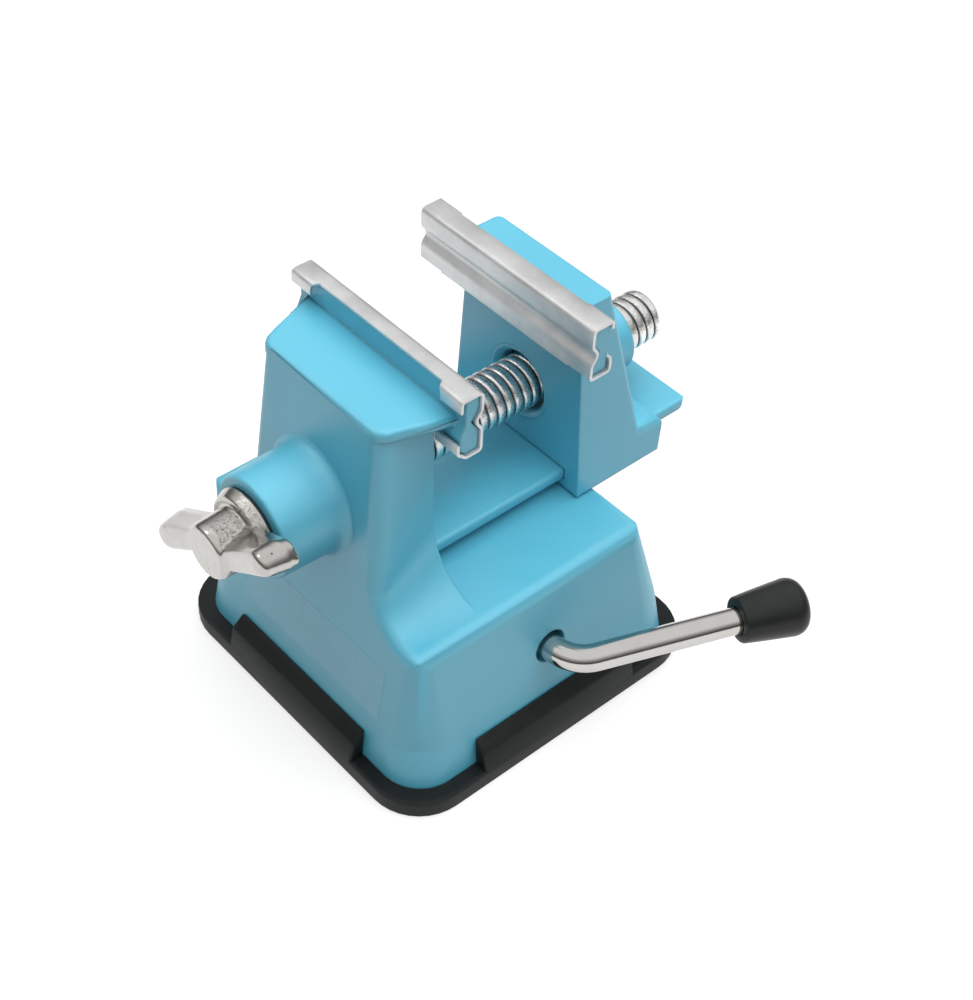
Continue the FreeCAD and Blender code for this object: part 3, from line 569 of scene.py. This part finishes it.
def joined_flats(mesh, prepare=None):
    """Turn each flat region into one face; prepare(work) may shape the mesh after that."""
    work = bmesh.new()
    work.from_mesh(mesh)
    bmesh.ops.dissolve_limit(work, angle_limit=math.radians(flat_turn), verts=work.verts,
                             edges=work.edges)
    if prepare is not None:
        prepare(work)
    work.to_mesh(mesh)
    work.free()


def moulded(node, name, finish, prepare=None, crease=None, sharp=50.0):
    """A CAD node's form as one smooth skin: flat walls stay flat, small bevels turn round.

    crease is the height of a line that stays crisp although the walls hardly turn there.
    """
    mesh = merged_copy(node)
    joined_flats(mesh, prepare)
    shade(mesh, sharp)
    if crease is not None:
        for edge in mesh.edges:
            ends = [mesh.vertices[i].co.z / MM for i in edge.vertices]
            if max(abs(z - crease) for z in ends) < hair:
                edge.use_edge_sharp = True
    piece = new_piece(name, mesh, finish)
    if prepare is not None:
        modify(piece, "BEVEL", width=shelf_edge * MM, segments=4, limit_method="WEIGHT",
               use_clamp_overlap=False)
    modify(piece, "WEIGHTED_NORMAL", weight=100, keep_sharp=True)
    return applied(piece)


def loft(rings, closed=True, cap=True):
    """Points and faces of a skin over rings with equal point counts."""
    count = len(rings[0])
    points = [p for ring in rings for p in ring]
    faces = []
    wrap = count if closed else count - 1
    for i in range(len(rings) - 1):
        for j in range(wrap):
            k = (j + 1) % count
            faces.append((i * count + j, i * count + k, (i + 1) * count + k, (i + 1) * count + j))
    if cap:
        faces.append(tuple(range(count)))
        last = (len(rings) - 1) * count
        faces.append(tuple(range(last, last + count)))
    return points, faces


def turned(profile, origin, way, sides=64):
    """Rings of a profile of (distance along, radius) points, turned about a direction."""
    spin = Vector((0, 0, 1)).rotation_difference(way).to_matrix()
    rings = []
    for along, radius in profile:
        rings.append([origin + spin @ Vector((radius * math.cos(math.tau * j / sides),
                                              radius * math.sin(math.tau * j / sides), along))
                      for j in range(sides)])
    return rings


def arc(centre, radius, start, end, steps):
    """Points on a flat arc, angles in degrees."""
    for i in range(steps + 1):
        angle = math.radians(start + (end - start) * i / steps)
        yield (centre[0] + radius * math.cos(angle), centre[1] + radius * math.sin(angle))


def rounded_line(corners, radii, steps=5):
    """A flat line with its inner corners rounded; returns one list of points per corner."""
    runs = [[Vector(corners[0])]]
    for before, corner, after, radius in zip(corners, corners[1:], corners[2:], radii):
        here = Vector(corner)
        back = (Vector(before) - here).normalized()
        ahead = (Vector(after) - here).normalized()
        half = back.angle(ahead) / 2
        if radius <= 0 or half > math.radians(89):
            runs.append([here])
            continue
        reach = radius / math.tan(half)
        middle = here + (back + ahead).normalized() * (radius / math.sin(half))
        first = here + back * reach - middle
        last = here + ahead * reach - middle
        turn = first.angle_signed(last)
        run = []
        for i in range(steps + 1):
            angle = -turn * i / steps
            run.append(middle + Matrix.Rotation(angle, 2) @ first)
        runs.append(run)
    runs.append([Vector(corners[-1])])
    return runs


# ---- housing, moving jaw ------------------------------------------------------------

def round_shelf(work):
    """Round the front corners of the tower's top and mark the edges that get a softer rim."""
    top = jaw_top - shelf_drop
    front = wall_foot_y + wall_slope * (top - wall_foot_z)
    close = 0.05

    def spans(edge):
        """An edge's two ends in order: sideways from the middle, backward and upward."""
        return (sorted(abs(vert.co.x) / MM for vert in edge.verts),
                sorted(vert.co.y / MM for vert in edge.verts),
                sorted(vert.co.z / MM for vert in edge.verts))

    corners = []
    for edge in work.edges:
        (inner, _), (_, back), (low, high) = spans(edge)
        on_lip = abs(high - top) < close and abs(low - top + shelf_lip) < close
        if on_lip and back < front + close and inner > shelf_front_half - close:
            corners.append(edge)
    bmesh.ops.bevel(work, geom=corners, offset=shelf_corner * MM, segments=7, profile=0.5,
                    affect="EDGES", clamp_overlap=False)
    weights = work.edges.layers.float.new("bevel_weight_edge")
    for edge in work.edges:
        (inner, _), (_, back), (low, high) = spans(edge)
        on_top = low > top - close and high < top + close and back < fixed_low.y + shelf_run_back
        if not on_top or len(edge.link_faces) != 2 \
                or edge.calc_face_angle() < math.radians(rim_turn):
            continue
        if back < front + shelf_corner + close:
            edge[weights] = 1.0
        elif inner > shelf_front_half - close:
            edge[weights] = shelf_side_share


housing_shell = moulded("housing", "housing_shell", "blue_plastic", prepare=round_shelf,
                        crease=wall_foot_z)
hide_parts("housing")
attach(housing_shell, "base")

sliding_block = moulded("moving_jaw", "sliding_block", "blue_plastic")
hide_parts("moving_jaw")
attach(sliding_block, "sliding_jaw")


def hole_lip():
    """Soft funnel that leads into the moving jaw's screw hole."""
    face = column_front + hair
    back = column_front + lip_sleeve
    mouth = hole_radius + lip_wall
    steps = 8
    profile = [(back, hole_radius + hair), (face, hole_radius + lip_flare)]
    for step in range(steps + 1):
        angle = math.radians(90 * step / steps)
        profile.append((face + lip_depth * (1 - math.cos(angle)),
                        mouth - lip_drop * math.sin(angle)))
    profile += [(back, mouth - lip_drop), profile[0]]
    rings = turned(profile, Vector((0, 0, screw_z)), Vector((0, 1, 0)), sides=72)
    points, faces = loft(rings, cap=False)
    return drawn("hole_lip", points, faces, "blue_plastic", sharp=40.0)


lip = hole_lip()
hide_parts("moving_jaw")
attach(lip, "sliding_jaw")


# ---- jaw covers ---------------------------------------------------------------------

def folded_cover(name, grip_y, way, plate_depth, tab, foot, ears):
    """A jaw cover bent from one strip: plate over top and grip side, hooked ears at its ends.

    tab is the far end of the top flap, foot the height at which the grip side ends, and ears
    are the further points of the hooked ends; points are (depth, height).
    """
    half = sheet / 2
    top = jaw_top - half - cover_margin
    groove_z = jaw_top - groove_drop
    corners = [tab, (tab[0], top), (plate_depth, top), (half, top), (half, groove_z + groove_half),
               (half + groove_depth, groove_z), (half, groove_z - groove_half), (half, foot)] + ears
    flap_bend = min(bend_radius, 0.9 * (tab[0] - plate_depth))
    radii = [flap_bend, 0, top_bend, groove_bend, groove_bend, groove_bend, bend_radius]
    radii += [bend_radius] * (len(ears) - 1)
    runs = rounded_line(corners, radii)
    plate_start, foot_run = 2, 7
    rows = []
    for number, run in enumerate(runs):
        rows += [(number, point) for point in run]
    first_plate = next(i for i, (number, _) in enumerate(rows) if number == plate_start)
    last_plate = next(i for i, (number, _) in enumerate(rows) if number == foot_run)
    inner = grip_half - ear_length
    columns = [-grip_half, -inner, -inner / 2, 0, inner / 2, inner, grip_half]
    points, faces = [], []

    def slanted(x, row):
        """The flap's inner ends run out at a slant."""
        if abs(x) != inner or row > first_plate:
            return x
        past = (row - first_plate) / first_plate
        return math.copysign(inner - ear_slant * (1 + 2 * past), x)

    for row, (_, (depth, height)) in enumerate(rows):
        for x in columns:
            points.append((slanted(x, row), grip_y + way * depth, height))
    wide = len(columns)
    for row in range(len(rows) - 1):
        for column in range(wide - 1):
            in_ear = column in (0, wide - 2)
            if in_ear or first_plate <= row < last_plate:
                a = row * wide + column
                faces.append((a, a + 1, a + wide + 1, a + wide))
    for column in range(1, wide - 2):
        a = last_plate * wide + column
        low = [(columns[c], grip_y + way * half, foot) for c in (column + 1, column)]
        faces.append((a, a + 1, len(points), len(points) + 1))
        points += low
    cover = drawn(name, points, faces, "jaw_aluminium")
    modify(cover, "SOLIDIFY", thickness=sheet * MM, offset=0.0, use_even_offset=True)
    modify(cover, "BEVEL", width=sheet_edge * MM, segments=2, limit_method="ANGLE",
           angle_limit=math.radians(50), use_clamp_overlap=True)
    applied(cover)
    shade(cover.data, 40.0)
    return cover


fixed_foot = fixed_low.z + sheet / 2
fixed_cover = folded_cover(
    "fixed_cover", grip_y=fixed_high.y, way=-1, plate_depth=3.4, tab=(cover_back, jaw_top - 2.5),
    foot=fixed_foot, ears=[(3.3, fixed_foot), (5.0, jaw_top - 10.6), (5.0, jaw_top - 8.7)])
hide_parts("fixed_jaw_cover")
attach(fixed_cover, "base")

moving_foot = moving_low.z + sheet / 2
moving_cover = folded_cover(
    "moving_cover", grip_y=moving_low.y, way=1, plate_depth=4.1, tab=(cover_back, jaw_top - 1.7),
    foot=moving_foot, ears=[(cover_back, moving_foot), (4.595, moving_low.z + 1.7),
                            (cover_back, jaw_top - 7.7)])
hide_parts("moving_jaw_cover")
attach(moving_cover, "sliding_jaw")


# ---- lead screw ---------------------------------------------------------------------

def wind_thread(tree, size):
    """Wind one flat grid into a right-hand screw along Y, with chamfered ends."""
    pitches = round((screw_high.y - thread_start) / screw_pitch + spare_pitches)
    grid = tree.add("GeometryNodeMeshGrid", {"Size X": 1.0, "Size Y": 1.0,
                                             "Vertices X": steps_per_turn + 1,
                                             "Vertices Y": pitches * rows_per_pitch + 1})
    place = tree.add("ShaderNodeSeparateXYZ", {0: tree.add("GeometryNodeInputPosition")})
    around = place.output("X") + 0.5
    along = (place.output("Y") + 0.5) * (size["Length"] + size["Pitch"] * spare_pitches)
    travel = along + size["Pitch"] * (around - lead_in_pitches)
    phase = (along / size["Pitch"]).math("FRACT")
    aside = ((phase - 0.5) * 2.0).math("ABSOLUTE")
    fall = 1.0 - (1.0 - aside ** crest_breadth * crest_roundness) ** 0.5
    thread = size["Outer Radius"] - size["Thread Depth"] * fall
    to_end = (size["Length"] - travel).math("MINIMUM", travel)
    chamfered = size["End Radius"] + to_end
    cap = size["End Radius"] * (1.0 + to_end / size["Pitch"])
    limit = chamfered.math("MINIMUM", cap).math("MAXIMUM", 0.0)
    radius = thread.math("MINIMUM", limit)
    angle = around * math.tau
    depth = travel.math("MAXIMUM", 0.0).math("MINIMUM", size["Length"])
    spot = tree.add("ShaderNodeCombineXYZ", {0: radius * angle.math("SINE"),
                                             1: size["Start"] + depth,
                                             2: size["Axis Height"] + radius * angle.math("COSINE")})
    wound = tree.add("GeometryNodeSetPosition", {"Geometry": grid, "Position": spot})
    joined = tree.add("GeometryNodeMergeByDistance", {"Geometry": wound, "Distance": cad_weld * MM})
    return tree.add("GeometryNodeSetShadeSmooth", {"Geometry": joined})


screw_bar = grown("screw_bar", "plated_steel", {
    "Start": thread_start * MM, "Length": (screw_high.y - thread_start) * MM,
    "Pitch": screw_pitch * MM, "Outer Radius": screw_radius * MM, "Thread Depth": thread_depth * MM,
    "End Radius": screw_end_radius * MM, "Axis Height": screw_z * MM}, wind_thread)
turn_outward(screw_bar.data)
shade(screw_bar.data, 50.0)
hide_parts("lead_screw")
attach(screw_bar, "screw")


# ---- wing handle --------------------------------------------------------------------

def cast_wing():
    """The wing handle melted soft, the way a die casting comes out, its wings most of all."""
    low, high = node_box("wing_handle")
    piece = new_piece("wing_casting", merged_copy("wing_handle", 1 / MM), "cast_zinc")
    modify(piece, "REMESH", mode="VOXEL", voxel_size=wing_voxel, use_smooth_shade=True)
    applied(piece)
    wings = piece.vertex_groups.new(name="wings")
    for vertex in piece.data.vertices:
        outward = (math.hypot(vertex.co.x, vertex.co.z - screw_z) - wing_root) / wing_span
        ahead = (flange_front - vertex.co.y) / wing_melt_run
        melt = min(max(ahead, 0.0), 1.0) * min(max(outward, wing_least_melt), 1.0)
        wings.add([vertex.index], melt, "REPLACE")
    modify(piece, "SMOOTH", factor=0.5, iterations=wing_melt_rounds, vertex_group="wings")
    modify(piece, "DISPLACE", strength=wing_swell, mid_level=0.0, vertex_group="wings")
    modify(piece, "SMOOTH", factor=0.5, iterations=wing_settle_rounds)
    applied(piece)
    for vertex in piece.data.vertices:
        vertex.co.y = min(max(vertex.co.y, low.y), high.y)
    piece.data.transform(Matrix.Scale(MM, 4))
    piece.data.shade_smooth()
    return piece


wing_casting = cast_wing()
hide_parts("wing_handle")
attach(wing_casting, "screw")


# ---- lever --------------------------------------------------------------------------

arm_way = Vector((math.sin(arm_splay), math.cos(arm_splay), 0))
arm_corner = Vector((rod_bend_x, 0, lever_z))
knob_start = arm_corner + arm_way * arm_to_knob


def bent_rod():
    """Round bar along X that bends into the arm."""
    tip = knob_start + arm_way * rod_in_knob
    flat = [(rod_low.x, 0), (arm_corner.x, arm_corner.y), (tip.x, tip.y)]
    line = [p for run in rounded_line(flat, [rod_bend_radius], steps=20) for p in run]
    sides = 48
    rings = []
    for i, point in enumerate(line):
        before = line[max(i - 1, 0)]
        after = line[min(i + 1, len(line) - 1)]
        way = (after - before).normalized()
        across = Vector((way.y, -way.x, 0))
        steps = [(0.0, 1.0)]
        if i == 0:
            steps = [(0.0, 1 - rod_chamfer / rod_radius), (rod_chamfer, 1.0)]
        elif i == len(line) - 1:
            steps = [(-rod_chamfer, 1.0), (0.0, 1 - rod_chamfer / rod_radius)]
        for shift, share in steps:
            centre = Vector((point.x + way.x * shift, point.y + way.y * shift, lever_z))
            ring = []
            for j in range(sides):
                angle = math.tau * j / sides
                ring.append(centre + (across * math.cos(angle) + Vector((0, 0, 1))
                                      * math.sin(angle)) * rod_radius * share)
            rings.append(ring)
    return loft(rings)


points, faces = bent_rod()
lever_bar = drawn("lever_bar", points, faces, "bright_rod", sharp=40.0)
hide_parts("lever_rod")
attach(lever_bar, "lever")


def grip_profile():
    """Narrow rolled rim, swelling body, domed end."""
    bore = rod_radius + hair
    bottom = rod_in_knob + hair
    mouth_depth, mouth_flare = 0.25, 0.2
    rim, roll = 4.3, 0.45
    belly, belly_at, fullness = 5.36, 10.1, 0.9
    flat, flat_rise, roundness = 2.4, 0.12, 0.75
    tip, tip_rise = 1.2, 0.03
    line = [(bottom, 0.0), (bottom, bore), (mouth_depth, bore), (0.0, bore + mouth_flare)]
    line += [(roll - roll * math.sin(math.radians(a)), rim - roll + roll * math.cos(math.radians(a)))
             for a in (90, 60, 30, 0)]
    for i in range(1, 9):
        share = i / 8
        line.append((roll + (belly_at - roll) * share, rim + (belly - rim) * share ** fullness))
    for a in range(12, 91, 13):
        turn = math.radians(a)
        line.append((belly_at + (knob_length - belly_at - flat_rise) * math.sin(turn),
                     flat + (belly - flat) * math.cos(turn) ** roundness))
    line += [(knob_length - tip_rise, tip), (knob_length, 0.0)]
    return line


points, faces = loft(turned(grip_profile(), knob_start, arm_way), cap=False)
lever_grip = drawn("lever_grip", points, faces, "knob_rubber", sharp=50.0)
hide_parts("lever_knob")
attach(lever_grip, "lever")


# ---- suction pad --------------------------------------------------------------------

def quarter_turn(quarter):
    return Matrix.Rotation(math.pi / 2 * quarter, 3, "Z")


def rounded_square(half, radius, z, corner_steps=9):
    """One loop round the pad."""
    loop = []
    for quarter in range(4):
        turn = quarter_turn(quarter)
        centre = (half - radius, half - radius)
        for x, y in arc(centre, radius, 0, 90, corner_steps):
            loop.append(turn @ Vector((x, y, z)))
    return loop


def pad_rim():
    """Flat rim with a rolled outer edge; profile points are (inset, height)."""
    profile = [(0.45, 0.0), (0.1, 0.12), (0.0, 0.5), (0.0, 3.05), (0.12, 3.38), (0.45, 3.58),
               (0.9, pad_thickness), (5.5, pad_thickness), (5.5, diaphragm)]
    rings = [rounded_square(pad_half - inset, max(pad_corner - inset, 0.4), z)
             for inset, z in profile]
    rings.append(rounded_square(panel_half, 0.0, diaphragm))
    rings.append(rounded_square(panel_half, 0.0, 0.0))
    rings.append(rings[0])
    points, faces = loft(rings, cap=False)
    rim = drawn("pad_rim", points, faces, "pad_rubber", sharp=30.0)
    modify(rim, "WEIGHTED_NORMAL", weight=50, keep_sharp=True)
    return applied(rim)


def clip_outline():
    """A clip's section as (distance out, height): up its outer side, over, and down inside."""
    foot = pad_half - clip_inset
    inner_foot = pad_half - clip_thickness + hair
    risen = (clip_top - pad_thickness) / (wall_foot_z - pad_thickness)
    inner_top = inner_foot - brim_lean * risen + clip_relief
    return [(foot, clip_low), (foot, pad_thickness - clip_shoulder),
            clip_crest, (inner_top, clip_top), (inner_foot, clip_low)]


def pad_clips():
    """Four upright clips, soft all round, that grip the housing's brim."""
    points, faces = [], []
    for quarter in range(4):
        turn = quarter_turn(quarter)
        ends = [[turn @ Vector((x, -distance, z)) for distance, z in clip_outline()]
                for x in (-clip_length / 2, clip_length / 2)]
        clip_points, clip_faces = loft(ends)
        start = len(points)
        points += clip_points
        faces += [tuple(start + i for i in face) for face in clip_faces]
    clips = drawn("pad_clips", points, faces, "pad_rubber", sharp=30.0)
    modify(clips, "BEVEL", width=clip_softness * MM, segments=4, limit_method="ANGLE",
           angle_limit=math.radians(28), use_clamp_overlap=False)
    modify(clips, "WEIGHTED_NORMAL", weight=50)
    applied(clips)
    shade(clips.data, 60.0)
    return clips


clips = pad_clips()
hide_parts("suction_pad")
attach(clips, "base")


def set_out_ribs(tree, size):
    """A row of fine bars along Y, each a little different in length and thickness."""
    first = tree.add("ShaderNodeCombineXYZ", {0: size["Across"], 1: size["Start"],
                                              2: size["Height"]})
    step = tree.add("ShaderNodeCombineXYZ", {0: 0.0, 1: size["Pitch"], 2: 0.0})
    line = tree.add("GeometryNodeMeshLine", {"Count": size["Count"], "Start Location": first,
                                             "Offset": step})
    bar = tree.add("GeometryNodeMeshCylinder", {"Vertices": 8, "Radius": size["Radius"],
                                                "Depth": size["Length"]})
    upset = tree.add("ShaderNodeCombineXYZ", {0: 0.0, 1: size["Lean"] + math.pi / 2, 2: 0.0})
    jitter = tree.add("FunctionNodeRandomValue", {"Min": rib_least, "Max": rib_most,
                                                  "Seed": rib_seed}, data_type="FLOAT_VECTOR")
    return tree.add("GeometryNodeInstanceOnPoints", {"Points": line, "Instance": bar,
                                                     "Rotation": upset, "Scale": jitter})


def clip_ribs():
    """Fine ribs across the top of the bevel on the clip at the lever's side."""
    inner = Vector((pad_half - rib_slope_end, clip_top))
    slope = (Vector(clip_crest) - inner).normalized()
    spot = inner + slope * rib_inset
    piece = grown("clip_ribs", "pad_rubber", {
        "Start": rib_start * MM, "Pitch": rib_pitch * MM, "Length": rib_length * MM,
        "Radius": rib_radius * MM, "Across": spot.x * MM, "Height": spot.y * MM,
        "Lean": math.atan2(-slope.y, slope.x), "Count": rib_count}, set_out_ribs)
    shade(piece.data, 50.0)
    return piece


ribs = clip_ribs()
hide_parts("suction_pad")
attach(ribs, "base")

rim = pad_rim()
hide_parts("suction_pad")
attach(rim, "base")


def pad_panel(name, quarter):
    """A quarter of the pad's thin middle, hollow below, in rows from its edge inward."""
    turn = quarter_turn(quarter)
    across, inward = 16, 27
    layers = []
    for side in (0, 1):
        rings = []
        for i in range(inward + 1):
            distance = panel_half * (1 - i / inward)
            hollow = panel_hollow * (1 - (distance / panel_half) ** 2)
            z = diaphragm if side else hollow
            rings.append([turn @ Vector((distance * (2 * j / across - 1), -distance, z))
                          for j in range(across + 1)])
        layers.append(rings)
    under, over = layers
    points, faces = loft(under, closed=False, cap=False)
    count = len(points)
    over_points, over_faces = loft(over, closed=False, cap=False)
    points += over_points
    faces += [tuple(count + i for i in reversed(face)) for face in over_faces]
    wide = across + 1
    for i in range(inward):
        for j in (0, across):
            a, b = i * wide + j, (i + 1) * wide + j
            faces.append((a, b, count + b, count + a))
    for j in range(across):
        faces.append((j, j + 1, count + j + 1, count + j))
    panel = drawn(name, points, faces, "pad_rubber", sharp=40.0)
    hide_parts("suction_pad")
    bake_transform(panel)


for quarter, side in enumerate(("front", "right", "rear", "left")):
    pad_panel("pad_panel_" + side, quarter)

seat_outer = seat_inner + seat_wall
seat_foot = diaphragm - seat_sink
seat = [(seat_foot, seat_inner), (seat_top, seat_inner), (seat_top, seat_outer - seat_chamfer),
        (seat_top - seat_chamfer, seat_outer), (seat_foot, seat_outer), (seat_foot, seat_inner)]
points, faces = loft(turned(seat, Vector(), Vector((0, 0, 1)), sides=72), cap=False)
pad_seat = drawn("pad_seat", points, faces, "pad_rubber", sharp=30.0)
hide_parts("suction_pad")
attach(pad_seat, "plunger")


# ---- label film ---------------------------------------------------------------------

def label_film():
    """Bare clear film stuck on the front wall, with rounded corners; corners are (x, z)."""
    corners = [(-16.9, 14.6), (20.75, 14.7), (21.7, 27.2), (-16.0, 26.7)]
    radius, steps, sink, thickness = 0.6, 5, 0.04, 0.07
    closed = corners[-1:] + corners + corners[:1]
    outline = [p for run in rounded_line(closed, [radius] * 4, steps)[1:-1] for p in run]

    def ring(outset):
        return [Vector((x, wall_foot_y + wall_slope * (z - wall_foot_z) - outset, z))
                for x, z in outline]

    return loft([ring(-sink), ring(thickness - sink)])


points, faces = label_film()
film = drawn("front_film", points, faces, "clear_film", sharp=30.0)
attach(film, "base")


# ---- CAD nodes that keep their own form ---------------------------------------------

kept = {"thrust_washer": "black_washer", "keeper_washer": "plain_steel",
        "keeper_clip": "plain_steel", "jaw_nut": "plain_steel", "lever_cam": "white_acetal",
        "cam_pin": "plain_steel", "rod_washer": "plain_steel", "rod_clip": "plain_steel",
        "plunger_yoke": "white_acetal", "pull_stud": "plain_steel", "plunger_disc": "plain_steel"}
for node, finish in kept.items():
    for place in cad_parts[node].material_slots:
        place.material = finishes[finish]


# ---- studio -------------------------------------------------------------------------

def stage_piece(name, points, faces):
    """A piece of the studio, drawn in metres, and the empty tree of its material."""
    mesh = bpy.data.meshes.new(name)
    mesh.from_pydata(points, [], faces)
    mesh.materials.append(bpy.data.materials.new(name))
    return added(name, mesh), emptied(mesh.materials[0])


def studio_floor():
    """Pale floor: near white to the eye and in reflections, with the object's soft shadow."""
    half, below, white_from, white_to = 4.0, 0.05, 0.2, 0.9
    corners = [(-half, -half, 0), (half, -half, 0), (half, half, 0), (-half, half, 0)]
    floor, tree = stage_piece("floor", corners, [(0, 1, 2, 3)])
    floor.location.z = -below * MM
    rays = tree.add("ShaderNodeLightPath")
    seen = rays.output("Is Camera Ray").math("MAXIMUM", rays.output("Is Glossy Ray"))
    plain = tree.add("ShaderNodeBsdfDiffuse", {"Color": (0.26, 0.26, 0.26, 1)})
    pale = tree.add("ShaderNodeBsdfDiffuse", {"Color": (0.42, 0.42, 0.42, 1)})
    glow = tree.add("ShaderNodeEmission", {"Color": (1, 1, 1, 1), "Strength": 0.64})
    near = tree.add("ShaderNodeAddShader", {0: pale, 1: glow})
    white = tree.add("ShaderNodeEmission", {"Color": (1, 1, 1, 1), "Strength": 1.0})
    place = tree.add("ShaderNodeTexCoord", output="Object")
    distance = tree.add("ShaderNodeVectorMath", {0: place}, operation="LENGTH", output="Value")
    far = tree.ramp(distance, white_from, white_to)
    lit = tree.add("ShaderNodeMixShader", {0: far, 1: near, 2: white})
    shader = tree.add("ShaderNodeMixShader", {0: seen, 1: plain, 2: lit})
    tree.add("ShaderNodeOutputMaterial", {"Surface": shader})


def studio_world():
    """White background; a softer even fill for the object."""
    world = bpy.data.worlds.new("studio")
    bpy.context.scene.world = world
    tree = emptied(world)
    rays = tree.add("ShaderNodeLightPath")
    seen = rays.output("Is Camera Ray").math("MAXIMUM", rays.output("Is Glossy Ray"))
    seen = seen.math("MAXIMUM", rays.output("Is Transmission Ray"))
    white = tree.add("ShaderNodeBackground", {"Color": (1, 1, 1, 1), "Strength": 1.0})
    fill = tree.add("ShaderNodeBackground", {"Color": (1, 1, 1, 1), "Strength": 0.48})
    shader = tree.add("ShaderNodeMixShader", {0: seen, 1: fill, 2: white})
    tree.add("ShaderNodeOutputWorld", {"Surface": shader})


def dim_surround():
    """The unlit room beyond the white table, which only glossy surfaces show.

    It is dark at table height and clears toward its top.
    """
    radius, height, dark_to, sides = 0.9, 0.95, 0.02, 64
    rings = [[(radius * math.cos(math.tau * j / sides), radius * math.sin(math.tau * j / sides), z)
              for j in range(sides)] for z in (0.0, height)]
    band, tree = stage_piece("surround", *loft(rings, cap=False))
    for ray in ("camera", "diffuse", "transmission", "volume_scatter", "shadow"):
        setattr(band, "visible_" + ray, False)
    place = tree.add("ShaderNodeTexCoord", output="Object")
    rise = tree.add("ShaderNodeSeparateXYZ", {0: place}, output="Z")
    colour = tree.mix(tree.ramp(rise, dark_to, height), (0.075, 0.068, 0.060, 1), (1, 1, 1, 1))
    room = tree.add("ShaderNodeEmission", {"Color": colour, "Strength": 1.0})
    tree.add("ShaderNodeOutputMaterial", {"Surface": room})


def soft_lamp(name, place, target, size, power, gloss):
    """A square lamp, placed in metres and turned to its target."""
    lamp = bpy.data.lights.new(name, "AREA")
    lamp.shape = "SQUARE"
    lamp.size = size
    lamp.energy = power
    holder = added(name, lamp)
    holder.location = place
    holder.rotation_mode = "QUATERNION"
    holder.rotation_quaternion = (Vector(target) - Vector(place)).to_track_quat("-Z", "Y")
    holder.visible_camera = False
    holder.visible_glossy = gloss


def studio_camera():
    """Camera on the three-quarter view; its lens and distance fit a 973 x 1000 frame."""
    azimuth, elevation, roll = (math.radians(a) for a in (46.97, 44.17, 2.76))
    focal_px, long_side_px = 1834.1, 1000.0
    across, up, away = -9.49, -23.29, 348.7
    back = Vector((math.sin(azimuth) * math.cos(elevation),
                   -math.cos(azimuth) * math.cos(elevation), math.sin(elevation)))
    right = Vector((math.cos(azimuth), math.sin(azimuth), 0))
    top = back.cross(right)
    level = Matrix((right, top, back))
    turn = Matrix(((math.cos(roll), math.sin(roll), 0), (-math.sin(roll), math.cos(roll), 0),
                   (0, 0, 1)))
    view = turn @ level
    camera = bpy.data.cameras.new("camera")
    camera.sensor_width = 36.0
    camera.lens = focal_px * camera.sensor_width / long_side_px
    camera.clip_start = 0.01
    camera.clip_end = 20.0
    holder = added("camera", camera)
    pose = view.transposed().to_4x4()
    pose.translation = view.transposed() @ Vector((-across, -up, away)) * MM
    holder.matrix_world = pose
    bpy.context.scene.camera = holder


studio_floor()
studio_world()
dim_surround()
soft_lamp("top_lamp", (0.08, 0.16, 0.82), (0, 0, 0.04), size=1.0, power=8.7, gloss=False)
soft_lamp("glint_lamp", (-0.35, -0.30, 0.60), (0, 0, 0.05), size=0.16, power=0.35, gloss=True)
studio_camera()
bpy.context.scene.view_settings.view_transform = "Standard"
